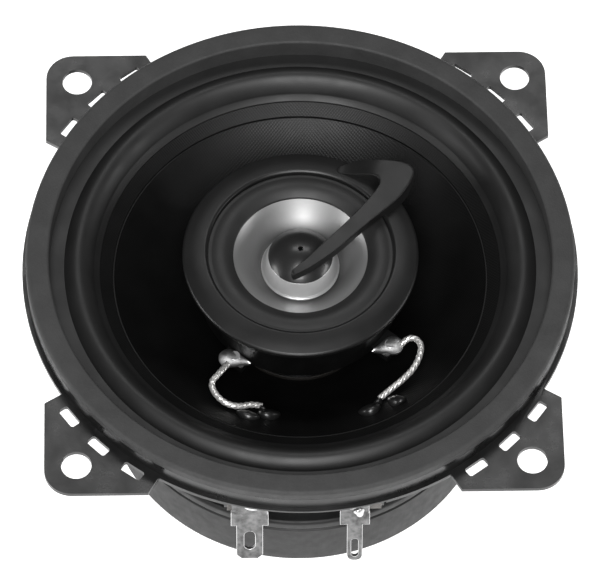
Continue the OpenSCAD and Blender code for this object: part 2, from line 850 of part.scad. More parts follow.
module tweeter_bezel() {
    blade_low_z = blade_top_z - blade_t;
    color([0.15, 0.15, 0.155]) {
        rotate_extrude()
            bezel_section();
        difference() {
            translate([0, 0, bezel_edge_z - 0.4])
                linear_extrude(blade_top_z - bezel_edge_z + 0.4)
                    arm_plan();
            translate([0, 0, -far])
                cylinder(h = far + blade_low_z, r = bezel_bore_r);
            rotate_extrude()
                bezel_section();
            translate([0, 0, -far])
                cylinder(h = far + pod_top_z, r = pod_r);
            translate([9, 0, bezel_edge_z + 0.3])
                rotate([0, -22, 0])
                    translate([-far / 2, 0, 0])
                        translate([0, 13.6, 0])
                            cube([far / 2 + 8, far, far]);
        }
    }
}

module tweeter_yoke() {
    color([0.6, 0.6, 0.62])
        rotate_extrude()
            polygon([
                [0, pod_floor_z],
                [tweeter_yoke_r, pod_floor_z],
                [tweeter_yoke_r, tweeter_yoke_top_z],
                [tweeter_yoke_bore_r, tweeter_yoke_top_z],
                [tweeter_yoke_bore_r, pod_floor_z + tweeter_yoke_floor],
                [0, pod_floor_z + tweeter_yoke_floor]]);
}

module tweeter_magnet() {
    color([0.7, 0.7, 0.72])
        translate([0, 0, pod_floor_z + tweeter_yoke_floor])
            cylinder(h = tweeter_magnet_h, r = tweeter_magnet_r);
}

module tweeter_pole_plate() {
    z = pod_floor_z + tweeter_yoke_floor + tweeter_magnet_h;
    color([0.6, 0.6, 0.62])
        translate([0, 0, z])
            cylinder(h = tweeter_yoke_top_z - z, r = pole_plate_r);
}

module tweeter_surround() {
    color([0.13, 0.13, 0.13])
        rotate_extrude()
            polygon(sheet_outline(
                concat([[pod_bore_r - 0.05, pod_top_z - 0.2]],
                       roll_line(pod_bore_r - 0.6, pod_top_z - 0.2, tweeter_cone_r,
                                 tweeter_rim_z + tweeter_skin_t, 0.5, 10),
                       [[tweeter_lap_r, tweeter_top(tweeter_lap_r) + tweeter_skin_t + 0.03]]),
                tweeter_skin_t));
}

// Height of the tweeter cone's flared front face at a radius
function tweeter_top(r) =
    let (s = (r - tweeter_flat_r) / (tweeter_cone_r - tweeter_flat_r))
    tweeter_neck_z + (tweeter_rim_z - tweeter_neck_z) * pow(s, tweeter_flare);

function tweeter_cone_line(steps) =
    [for (i = [0 : steps])
        let (r = tweeter_cone_r + (tweeter_flat_r - tweeter_cone_r) * i / steps)
        [r, tweeter_top(r)]];

module tweeter_cone() {
    color([0.8, 0.8, 0.82])
        rotate_extrude()
            polygon(sheet_outline(
                concat(tweeter_cone_line(8), [[tweeter_former_r, tweeter_neck_z]]),
                tweeter_skin_t));
}

module tweeter_collar() {
    color([0.85, 0.85, 0.87])
        rotate_extrude()
            polygon([
                [collar_foot_r, tweeter_neck_z],
                [collar_rim_r, dome_rim_z],
                [collar_rim_r - collar_t, dome_rim_z],
                [collar_foot_r - collar_t, tweeter_neck_z]]);
}

// Shallow dome on the collar's rim, with a small vent at its top
module tweeter_dome() {
    dome_r = (collar_rim_r * collar_rim_r + dome_h * dome_h) / (2 * dome_h);
    color([0.12, 0.12, 0.125])
        difference() {
            intersection() {
                translate([0, 0, dome_rim_z + dome_h - dome_r])
                    difference() {
                        sphere(dome_r);
                        sphere(dome_r - tweeter_skin_t);
                    }
                translate([0, 0, dome_rim_z])
                    cylinder(h = 2 * dome_h, r = 2 * collar_rim_r);
            }
            cylinder(h = far, r = 0.5);
        }
}

module tweeter_former() {
    color([0.75, 0.72, 0.65])
        ring(tweeter_former_r, tweeter_former_r - tweeter_former_t,
             tweeter_yoke_top_z - 2.2, tweeter_neck_z - tweeter_yoke_top_z + 2.2);
}

module tweeter_winding() {
    color([0.72, 0.4, 0.2])
        ring(tweeter_former_r + tweeter_winding_t, tweeter_former_r,
             tweeter_yoke_top_z - 2, tweeter_winding_h);
}

module tweeter_capacitor() {
    middle_r = (tweeter_yoke_r + pod_seat_t + pod_bore_r) / 2;
    color([0.2, 0.35, 0.55])
        translate([-capacitor_l / 2, middle_r, pod_floor_z + capacitor_r])
            rotate([0, 90, 0])
                cylinder(h = capacitor_l, r = capacitor_r);
}

module solder_lug(lug) {
    difference() {
        translate([0, 0, lug_z])
            linear_extrude(lug_t)
                hull() {
                    translate(lug[1])
                        circle(lug_head_r, $fn = hull_fn);
                    translate(lug[2])
                        circle(lug_tip_r, $fn = hull_fn);
                }
        lug_rivet_hole(lug);
    }
}

module solder_lug_left() {
    color([0.85, 0.85, 0.85])
        solder_lug(left_lug);
}

module solder_lug_right() {
    color([0.85, 0.85, 0.85])
        solder_lug(right_lug);
}

module lug_rivets() {
    color([0.8, 0.8, 0.8])
        for (lug = [left_lug, right_lug]) {
            translate([lug[0][0], lug[0][1], lug_z - shelf_t]) {
                cylinder(h = shelf_t + lug_t, r = lug_rivet_r);
                translate([0, 0, shelf_t + lug_t])
                    cylinder(h = 0.35, r = lug_rivet_r + 0.2);
            }
        }
}

module stem_washer() {
    color([0.75, 0.75, 0.77])
        ring(washer_r, screw_r + 0.1, yoke_z + screw_recess_h - washer_t, washer_t);
}

module stem_screw() {
    head_z = yoke_z + screw_recess_h - washer_t - screw_head_h;
    color([0.7, 0.7, 0.72])
        difference() {
            union() {
                translate([0, 0, head_z])
                    cylinder(h = screw_head_h, r = screw_head_r);
                translate([0, 0, head_z])
                    cylinder(h = stem_end_z + screw_l - head_z, r = screw_r);
            }
            for (turn = [0, 90]) {
                rotate(turn)
                    translate([-2, -0.4, head_z - 1])
                        cube([4, 0.8, 2]);
            }
        }
}

basket();
gasket_ring();
surround();
cone();
cone_eyelets();
cone_lead_glue();
spider();
voice_coil_former();
voice_coil_winding();
front_plate();
ferrite_magnet();
t_yoke();
magnet_boot();
basket_rivets();
terminal_board();
terminal_wide();
terminal_narrow();
terminal_rivets();
terminal_solder();
rear_lead_left();
rear_lead_right();
tweeter_pod();
tweeter_bezel();
tweeter_yoke();
tweeter_magnet();
tweeter_pole_plate();
tweeter_surround();
tweeter_cone();
tweeter_collar();
tweeter_dome();
tweeter_former();
tweeter_winding();
tweeter_capacitor();
solder_lug_left();
solder_lug_right();
lug_rivets();
front_lead_left();
front_lead_right();
stem_screw();
stem_washer();
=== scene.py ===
"""Coaxial car speaker of the 10 cm class, standing on its magnet on a pale floor.

Sizes are in millimetres and are turned into metres when a mesh is made. The
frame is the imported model's own: +Z points out of the front, z = 0 is the back
face of the bolt ears, and the terminals are on the -Y side.
"""

import json
import logging
import math
from dataclasses import dataclass, field
from enum import Enum
from functools import cache

import bmesh
import bpy
import numpy as np
from mathutils import Matrix, Vector

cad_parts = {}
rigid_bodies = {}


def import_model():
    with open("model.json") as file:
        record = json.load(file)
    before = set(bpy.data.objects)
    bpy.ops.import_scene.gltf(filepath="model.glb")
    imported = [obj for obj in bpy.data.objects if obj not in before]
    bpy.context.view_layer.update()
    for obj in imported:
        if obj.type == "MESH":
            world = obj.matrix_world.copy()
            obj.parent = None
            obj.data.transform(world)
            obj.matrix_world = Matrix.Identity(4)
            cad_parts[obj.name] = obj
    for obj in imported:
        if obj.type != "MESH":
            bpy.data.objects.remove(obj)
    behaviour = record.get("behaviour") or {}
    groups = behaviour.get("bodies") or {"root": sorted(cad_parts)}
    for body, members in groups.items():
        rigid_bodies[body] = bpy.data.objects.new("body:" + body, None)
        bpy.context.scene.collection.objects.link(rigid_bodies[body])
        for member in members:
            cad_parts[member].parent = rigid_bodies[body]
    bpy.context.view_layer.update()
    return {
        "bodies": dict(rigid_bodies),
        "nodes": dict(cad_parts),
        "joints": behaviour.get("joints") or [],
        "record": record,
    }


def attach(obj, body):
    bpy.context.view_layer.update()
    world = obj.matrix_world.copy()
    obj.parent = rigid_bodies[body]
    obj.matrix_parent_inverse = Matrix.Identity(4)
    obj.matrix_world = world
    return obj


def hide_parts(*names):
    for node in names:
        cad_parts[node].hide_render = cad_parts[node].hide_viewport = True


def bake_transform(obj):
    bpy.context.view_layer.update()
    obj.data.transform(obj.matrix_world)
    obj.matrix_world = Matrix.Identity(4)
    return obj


LOG = logging.getLogger("speaker")
MM = 0.001
BRAID_PITCH = 4.4
LEAD_RINGS = 240
CORNER_SHARE = 0.45
SHELL_WELD = 1e-7
NODE_WELD = 2e-6
FLAT_ANGLE = 0.4
FRAME_BODY = "frame"
CONE_BODY = "cone_assembly"
DOME_BODY = "tweeter_diaphragm"
FRAME: dict = {}


class Relief(Enum):
    """The kinds of fine relief that the finishes use."""

    SPRAYED = "sprayed paint"
    FOAM = "closed-cell foam"
    RUBBER = "moulded rubber"
    WEAVE = "woven cloth, square to the object"
    TURNED = "rings left by a lathe"
    STREAKED = "streaks along the axis"
    WOUND = "turns of enamelled wire"
    LAMINATE = "fibres in a laminated board"
    PLASTIC = "spark-eroded plastic"
    FLOWED = "solder or glue that has flowed"


class Graph:
    """A material's node tree, with short calls that add nodes and links."""

    def __init__(self, name: str) -> None:
        """Starts a material of this name with one Principled shader."""
        self.material = bpy.data.materials.new(name)
        self.material.use_nodes = True
        self.tree = self.material.node_tree
        self.shader = self.tree.nodes["Principled BSDF"]
        self.place = self.tree.nodes.new("ShaderNodeTexCoord").outputs["Object"]

    def add(self, kind: str, sockets: dict, **settings: object) -> bpy.types.Node:
        """Adds a node.

        Args:
            kind: Blender's type name of the node.
            sockets: input name or number to a value, or to an output to link.
            settings: properties of the node.

        Returns:
            The new node.
        """
        node = self.tree.nodes.new(kind)
        for key, value in settings.items():
            setattr(node, key, value)
        for key, value in sockets.items():
            if isinstance(value, bpy.types.NodeSocket):
                self.tree.links.new(value, node.inputs[key])
            else:
                node.inputs[key].default_value = value
        return node

    def math(self, operation: str, a: object, b: object = 0.0) -> bpy.types.NodeSocket:
        """Output of a Math node on two values or outputs."""
        return self.add("ShaderNodeMath", {0: a, 1: b}, operation=operation).outputs[0]

    def noise(self, size: float, detail: float = 3.0, stretch: tuple = (1, 1, 1)) -> bpy.types.NodeSocket:
        """Noise whose lumps are about size millimetres, stretched by a scale per axis."""
        place = self.add("ShaderNodeMapping", {"Vector": self.place, "Scale": stretch}).outputs[0]
        return self.add(
            "ShaderNodeTexNoise", {"Vector": place, "Scale": 1 / (size * MM), "Detail": detail}
        ).outputs["Fac"]

    def wave(self, along: bpy.types.NodeSocket, pitch: float) -> bpy.types.NodeSocket:
        """Sine of a coordinate, one period for each pitch in millimetres."""
        turns = self.math("MULTIPLY", along, 2 * math.pi / (pitch * MM))
        return self.math("SINE", turns)

    def axes(self) -> list:
        """Outputs of the object's X, Y and Z coordinates."""
        return list(self.add("ShaderNodeSeparateXYZ", {0: self.place}).outputs)

    def radius(self) -> bpy.types.NodeSocket:
        """Distance from the speaker's axis."""
        flat = self.add(
            "ShaderNodeVectorMath", {0: self.place, 1: (1, 1, 0)}, operation="MULTIPLY"
        ).outputs[0]
        return self.add("ShaderNodeVectorMath", {0: flat}, operation="LENGTH").outputs["Value"]

    def ramp(self, value: bpy.types.NodeSocket, low: float, high: float) -> bpy.types.NodeSocket:
        """A noise value from about 0.3 to 0.7, spread from low to high."""
        return self.add(
            "ShaderNodeMapRange",
            {"Value": value, "From Min": 0.3, "From Max": 0.7, "To Min": low, "To Max": high},
        ).outputs["Result"]


@dataclass(frozen=True)
class Finish:
    """One finish of the speaker: two tones, a span of roughness and a relief.

    The tones are mixed in soft patches or, where painted_shade_span gives two
    radii in millimetres, run from the dark one at the first to the light one at
    the second: painted shade, darker towards the inner radius, where a hollow
    lies in shade.
    """

    name: str
    dark: tuple
    light: tuple
    rough: tuple
    relief: Relief
    size: float
    depth: float
    metallic: float = 0.0
    patch: float = 8.0
    specular: float = 0.5
    coat: float = 0.0
    sheen: float = 0.0
    anisotropy: float = 0.0
    # Two radii over which the tone runs from dark to light: painted shade of a hollow.
    painted_shade_span: tuple = ()

    def height(self, graph: Graph) -> bpy.types.NodeSocket:
        """Height of the relief, about 0 to 1.

        Args:
            graph: the material's node tree.

        Returns:
            The output that carries the height.
        """
        grain = graph.noise(self.size)
        if self.relief is Relief.FOAM:
            cells = graph.add(
                "ShaderNodeTexVoronoi",
                {"Vector": graph.place, "Scale": 1 / (self.size * MM), "Randomness": 1.0},
            ).outputs["Distance"]
            return graph.math("ADD", cells, graph.math("MULTIPLY", grain, 0.6))
        if self.relief is Relief.WEAVE:
            x, y, _ = graph.axes()
            across = graph.math("MULTIPLY", graph.wave(x, self.size), graph.wave(y, self.size))
            return graph.math("ADD", across, graph.math("MULTIPLY", graph.noise(self.size * 3), 0.8))
        if self.relief is Relief.TURNED:
            rings = graph.wave(graph.radius(), self.size)
            return graph.math("ADD", graph.math("MULTIPLY", rings, 0.5), grain)
        if self.relief is Relief.STREAKED:
            streaks = graph.noise(self.size, 4.0, (1, 1, 0.12))
            return graph.math("ADD", streaks, graph.math("MULTIPLY", grain, 0.5))
        if self.relief is Relief.WOUND:
            return graph.math("ABSOLUTE", graph.wave(graph.axes()[2], self.size * 2))
        if self.relief is Relief.LAMINATE:
            x, _, z = graph.axes()
            threads = graph.math("MULTIPLY", graph.wave(x, self.size), graph.wave(z, self.size))
            return graph.math("ADD", threads, grain)
        if self.relief is Relief.FLOWED:
            return graph.noise(self.size, 1.5)
        if self.relief is Relief.SPRAYED:
            return graph.math("ADD", grain, graph.math("MULTIPLY", graph.noise(self.size * 7), 1.5))
        return grain

    @cache
    def material(self) -> bpy.types.Material:
        """Builds the material on the first call and gives the same one afterwards.

        Returns:
            The material of this finish.
        """
        graph = Graph(f"{self.name}_look")
        patches = graph.math("MULTIPLY", graph.noise(self.patch, 4.0), 0.7)
        specks = graph.math("MULTIPLY", graph.noise(self.size * 2), 0.3)
        share = graph.ramp(graph.math("ADD", patches, specks), 0, 1)
        # Painted shade: given two radii, the tone runs with the radius from dark at the inner one to light at
        # the outer one, standing in for the shade deep in a hollow.
        if self.painted_shade_span:
            inner, outer = self.painted_shade_span
            share = graph.add("ShaderNodeMapRange", {"Value": graph.radius(), "From Min": inner * MM,
                                                     "From Max": outer * MM}).outputs["Result"]
        tones = {0: share, 6: (*self.dark, 1), 7: (*self.light, 1)}
        colour = graph.add("ShaderNodeMix", tones, data_type="RGBA").outputs[2]
        height = self.height(graph)
        bump = graph.add("ShaderNodeBump", {"Height": height, "Distance": self.depth * MM, "Strength": 1.0})
        link = graph.tree.links.new
        link(colour, graph.shader.inputs["Base Color"])
        link(graph.ramp(graph.noise(self.patch * 0.6, 5.0), *self.rough), graph.shader.inputs["Roughness"])
        link(bump.outputs["Normal"], graph.shader.inputs["Normal"])
        for key, value in {
            "Metallic": self.metallic,
            "Specular IOR Level": self.specular,
            "Coat Weight": self.coat,
            "Coat Roughness": 0.12,
            "Sheen Weight": self.sheen,
            "Anisotropic": self.anisotropy,
        }.items():
            graph.shader.inputs[key].default_value = value
        return graph.material


def grey(level: float) -> tuple:
    """A neutral tone."""
    return level, level, level


PAINTED_STEEL = Finish("painted_steel", grey(0.006), grey(0.013), (0.24, 0.40),
                       Relief.SPRAYED, 0.35, 0.010)
GASKET = Finish("gasket_foam", grey(0.030), grey(0.046), (0.6, 0.75),
                Relief.FOAM, 0.3, 0.03, patch=5)
RUBBER = Finish("surround_rubber", grey(0.010), grey(0.014), (0.44, 0.54),
                Relief.RUBBER, 0.2, 0.008)
CONE_CLOTH = Finish("woven_cone_cloth", grey(0.001), grey(0.003), (0.42, 0.50),
                    Relief.WEAVE, 0.6, 0.016, patch=12, specular=0.3)
BRASS = Finish("eyelet_brass", (0.42, 0.29, 0.10), (0.62, 0.45, 0.18), (0.25, 0.4),
               Relief.TURNED, 0.1, 0.004, metallic=1.0)
GLUE = Finish("black_glue", grey(0.006), grey(0.014), (0.26, 0.36),
              Relief.FLOWED, 1.6, 0.03, coat=0.2)
SPIDER_CLOTH = Finish("spider_cloth", (0.40, 0.24, 0.08), (0.55, 0.36, 0.14), (0.6, 0.8),
                      Relief.WEAVE, 0.5, 0.04, sheen=0.2)
FORMER = Finish("former_paper", (0.010, 0.009, 0.008), (0.020, 0.018, 0.016), (0.5, 0.65),
                Relief.STREAKED, 0.4, 0.01)
COIL_WIRE = Finish("enamelled_wire", (0.42, 0.15, 0.05), (0.62, 0.26, 0.10), (0.22, 0.34),
                   Relief.WOUND, 0.25, 0.06, metallic=0.9)
PLATED_STEEL = Finish("plated_steel", (0.42, 0.43, 0.45), (0.56, 0.57, 0.58), (0.26, 0.42),
                      Relief.TURNED, 0.22, 0.006, metallic=1.0, anisotropy=0.3)
FERRITE = Finish("ferrite_ceramic", (0.030, 0.029, 0.030), (0.055, 0.053, 0.054), (0.6, 0.8),
                 Relief.TURNED, 0.5, 0.02)
BOOT_RUBBER = Finish("boot_rubber", grey(0.005), grey(0.010), (0.44, 0.56),
                     Relief.STREAKED, 0.45, 0.02, patch=3, specular=0.42)
BRIGHT_STEEL = Finish("zinc_plated_steel", (0.50, 0.51, 0.53), (0.66, 0.67, 0.68), (0.2, 0.36),
                      Relief.TURNED, 0.18, 0.006, metallic=1.0)
LAMINATE = Finish("board_laminate", (0.055, 0.050, 0.046), (0.13, 0.12, 0.11), (0.45, 0.6),
                  Relief.LAMINATE, 0.55, 0.03, patch=2)
TINNED = Finish("tinned_brass", (0.78, 0.78, 0.79), grey(0.92), (0.30, 0.42),
                Relief.SPRAYED, 0.5, 0.01, metallic=0.8)
DULL_TIN = Finish("dull_tinned_face", grey(0.07), grey(0.26), (0.3, 0.45),
                  Relief.SPRAYED, 0.5, 0.01, metallic=0.8, patch=2)
SOLDER = Finish("solder_tin", grey(0.66), grey(0.86), (0.30, 0.42),
                Relief.FLOWED, 1.2, 0.04, metallic=1.0, patch=2)
BRAID = Finish("tinned_braid", (0.72, 0.71, 0.69), (0.96, 0.95, 0.93), (0.24, 0.38),
               Relief.PLASTIC, 0.16, 0.02, metallic=0.7, patch=0.7)
POD_PLASTIC = Finish("pod_plastic", grey(0.002), grey(0.004), (0.42, 0.52),
                     Relief.PLASTIC, 0.18, 0.008, specular=0.3)
BEZEL_PLASTIC = Finish("bezel_plastic", grey(0.005), grey(0.008), (0.36, 0.44),
                       Relief.PLASTIC, 0.16, 0.005, specular=0.46)
NEODYMIUM = Finish("nickel_plating", (0.55, 0.55, 0.56), (0.68, 0.68, 0.69), (0.16, 0.26),
                   Relief.SPRAYED, 0.4, 0.005, metallic=1.0)
TWEETER_FOAM = Finish("tweeter_surround_foam", grey(0.010), grey(0.016), (0.44, 0.54),
                      Relief.FOAM, 0.22, 0.006)
# The silver film runs from dark at the neck to light at the rim: painted shade of the hollow round the
# collar, not the film's own tone.
SILVER = Finish("silver_cone_film", grey(0.05), grey(0.46), (0.42, 0.48),
                Relief.RUBBER, 0.3, 0.004, metallic=0.75, painted_shade_span=(7.2, 12.2))
COLLAR = Finish("silver_collar", grey(0.72), grey(0.82), (0.30, 0.36),
                Relief.RUBBER, 0.8, 0.002, metallic=0.7)
DOME_FILM = Finish("dome_film", grey(0.012), grey(0.018), (0.30, 0.38),
                   Relief.RUBBER, 0.3, 0.004, coat=0.2)
SLEEVE = Finish("capacitor_sleeve", (0.02, 0.06, 0.16), (0.04, 0.10, 0.24), (0.3, 0.42),
                Relief.STREAKED, 0.5, 0.01)


@dataclass
class Shell:
    """Points in millimetres with faces as rows of point numbers."""

    points: np.ndarray
    quads: np.ndarray
    caps: list = field(default_factory=list)

    @staticmethod
    def grid(points: np.ndarray, wrap_rows: bool, wrap_columns: bool) -> "Shell":
        """Quads between the neighbours of a grid of points.

        Args:
            points: array of rows x columns x 3.
            wrap_rows: whether the last row joins the first.
            wrap_columns: whether the last column joins the first.

        Returns:
            The shell.
        """
        rows, columns = points.shape[:2]
        i = np.arange(rows if wrap_rows else rows - 1)[:, None]
        j = np.arange(columns if wrap_columns else columns - 1)[None, :]
        below, beside = (i + 1) % rows, (j + 1) % columns
        corners = [i * columns + j, i * columns + beside, below * columns + beside, below * columns + j]
        quads = np.stack(np.broadcast_arrays(*corners), axis=-1).reshape(-1, 4)
        return Shell(points.reshape(-1, 3), quads)

    @staticmethod
    def joined(*shells: "Shell") -> "Shell":
        """Several shells as one, their faces renumbered."""
        starts = np.cumsum([0] + [len(s.points) for s in shells[:-1]])
        return Shell(
            np.concatenate([s.points for s in shells]),
            np.concatenate([s.quads + k for s, k in zip(shells, starts)]),
            [cap + k for s, k in zip(shells, starts) for cap in s.caps],
        )


def filleted(corners: list, radii: object, steps: int = 5) -> np.ndarray:
    """Rounds each corner of a closed outline by a quadratic curve.

    The curve starts and ends at the given distance from the corner, or at 45%
    of the shorter side where that is nearer, and the corner is its control
    point: (1-t)^2 start + 2t(1-t) corner + t^2 end.

    Args:
        corners: rows of two coordinates.
        radii: one distance, or one for each corner.
        steps: straight steps for each corner.

    Returns:
        The rounded outline, n x 2.
    """
    p = np.asarray(corners, float)
    to_last, to_next = np.roll(p, 1, axis=0) - p, np.roll(p, -1, axis=0) - p
    last_room, next_room = np.linalg.norm(to_last, axis=1), np.linalg.norm(to_next, axis=1)
    reach = np.minimum(np.broadcast_to(radii, len(p)), CORNER_SHARE * np.minimum(last_room, next_room))
    start = p + to_last * (reach / last_room)[:, None]
    end = p + to_next * (reach / next_room)[:, None]
    t = np.linspace(0, 1, steps + 1)[None, :, None]
    curve = (1 - t) ** 2 * start[:, None] + 2 * t * (1 - t) * p[:, None] + t**2 * end[:, None]
    return curve.reshape(-1, 2)


def lathe(outline: np.ndarray, steps: int = 224) -> Shell:
    """Turns a closed outline of (radius, height) about the axis.

    A point is (r cos a, r sin a, z), for a in even steps of the full turn.

    Args:
        outline: rows of radius and height.
        steps: steps round the axis.

    Returns:
        The closed shell; points at radius 0 are merged when the mesh is made.
    """
    outline = np.asarray(outline, float)
    angle = np.linspace(0, 2 * math.pi, steps, endpoint=False)[:, None]
    r, z = outline[None, :, 0], outline[None, :, 1]
    points = np.stack([r * np.cos(angle), r * np.sin(angle), np.broadcast_to(z, (steps, len(outline)))], -1)
    return Shell.grid(points, True, True)


def sheet_outline(line: np.ndarray, thickness: float) -> np.ndarray:
    """Outline of a thin wall: a line, and the same line lowered by the thickness, backwards."""
    line = np.asarray(line, float)
    return np.concatenate([line, line[::-1] - np.array([0, thickness])])


def dense(line: list, gap: float) -> np.ndarray:
    """A broken line with points added, so that none are further apart than about gap."""
    line = np.asarray(line, float)
    along = np.concatenate([[0], np.cumsum(np.linalg.norm(np.diff(line, axis=0), axis=1))])
    places = np.union1d(np.linspace(0, along[-1], int(along[-1] / gap) + 2), along)
    return np.stack([np.interp(places, along, line[:, k]) for k in range(line.shape[1])], -1)


def smooth_path(route: list, count: int) -> np.ndarray:
    """Catmull-Rom curve through a route, in even steps of its length.

    Between neighbours b and c, with a before and d after, a point is
    (2b + (c-a)t + (2a-5b+4c-d)t^2 + (3b-a-3c+d)t^3) / 2.

    Args:
        route: points of two or three coordinates.
        count: points on the curve.

    Returns:
        The curve, count rows.
    """
    p = np.asarray(route, float)
    place = np.linspace(0, len(p) - 1, 12 * count)
    b = np.minimum(place.astype(int), len(p) - 2)
    t = (place - b)[:, None]
    before, after = p[np.maximum(b - 1, 0)], p[np.minimum(b + 2, len(p) - 1)]
    curve = 0.5 * (
        2 * p[b] + (p[b + 1] - before) * t
        + (2 * before - 5 * p[b] + 4 * p[b + 1] - after) * t**2
        + (3 * p[b] - before - 3 * p[b + 1] + after) * t**3
    )
    along = np.concatenate([[0], np.cumsum(np.linalg.norm(np.diff(curve, axis=0), axis=1))])
    even = np.linspace(0, along[-1], count)
    return np.stack([np.interp(even, along, curve[:, k]) for k in range(p.shape[1])], -1)


def unit(vectors: np.ndarray) -> np.ndarray:
    """Rows scaled to length 1."""
    return vectors / np.linalg.norm(vectors, axis=-1, keepdims=True)


def smoothed(line: np.ndarray, reach: int) -> np.ndarray:
    """A line averaged over its neighbours by a Hann window; its ends keep their direction."""
    window = np.hanning(2 * reach + 1)
    window = window / window.sum()
    wide = np.pad(line, ((reach, reach), (0, 0)), "reflect", reflect_type="odd")
    return np.stack([np.convolve(column, window, "valid") for column in wide.T], -1)


def squared(wave: np.ndarray, power: float) -> np.ndarray:
    """A sine or cosine from 0 to 1, the squarer the smaller the power: 1/2 + sign(v) |v|^power / 2."""
    return 0.5 + 0.5 * np.sign(wave) * np.abs(wave) ** power


def braided_tube(route: list, diameter: float, count: int = LEAD_RINGS, around: int = 40) -> Shell:
    """A braided lead along a route.

    The radius at angle a and length s is R (0.80 + 0.14 |sin(2(a - ws))| +
    0.06 |sin(2(a + ws))|), two sets of strands that wind opposite ways.

    Args:
        route: points from end to end.
        diameter: over the strands.
        count: rings along the route.
        around: points in each ring.

    Returns:
        The tube, closed by a cap at each end.
    """
    path = smooth_path(route, count)
    ahead = unit(np.gradient(path, axis=0))
    side = unit(np.cross(ahead, [0.3, 0.2, 1.0]))
    up = np.cross(side, ahead)
    length = np.linalg.norm(np.diff(path, axis=0), axis=1).sum()
    s = np.linspace(0, length, count)[:, None]
    angle = np.linspace(0, 2 * math.pi, around, endpoint=False)[None, :]
    wind = 2 * math.pi / BRAID_PITCH * s
    lobes = 0.80 + 0.14 * np.abs(np.sin(2 * (angle - wind))) + 0.06 * np.abs(np.sin(2 * (angle + wind)))
    r = (diameter / 2 * lobes)[..., None]
    across = np.cos(angle)[..., None] * side[:, None] + np.sin(angle)[..., None] * up[:, None]
    points = path[:, None] + r * across
    tube = Shell.grid(points, False, True)
    tube.caps = [np.arange(around), np.arange(around) + (count - 1) * around]
    return tube


def blob(centre: tuple, radii: tuple, turn: float, lumps: float) -> Shell:
    """A drop: an ellipsoid with low waves on it.

    A direction's radius is 1 + lumps cos(b) (sin(3a + turn) cos(2b) + cos(2a) sin(3b)) / 2,
    scaled by the three half sizes, and the whole is turned about the vertical.

    Args:
        centre: middle of the drop.
        radii: half sizes.
        turn: angle of its long side, in radians.
        lumps: height of the waves, as a share of the radius.

    Returns:
        The drop.
    """
    rings, around = 25, 40
    b = np.linspace(-math.pi / 2, math.pi / 2, rings)[:, None]
    a = np.linspace(0, 2 * math.pi, around, endpoint=False)[None, :]
    waves = np.sin(3 * a + turn) * np.cos(2 * b) + np.cos(2 * a) * np.sin(3 * b)
    swell = 1 + lumps * np.cos(b) * waves / 2
    x = radii[0] * swell * np.cos(b) * np.cos(a)
    y = radii[1] * swell * np.cos(b) * np.sin(a)
    z = radii[2] * swell * np.sin(b) * np.ones_like(a)
    c, s = math.cos(turn), math.sin(turn)
    points = np.stack([c * x - s * y, s * x + c * y, z], -1) + np.array(centre)
    return Shell.grid(points, False, True)


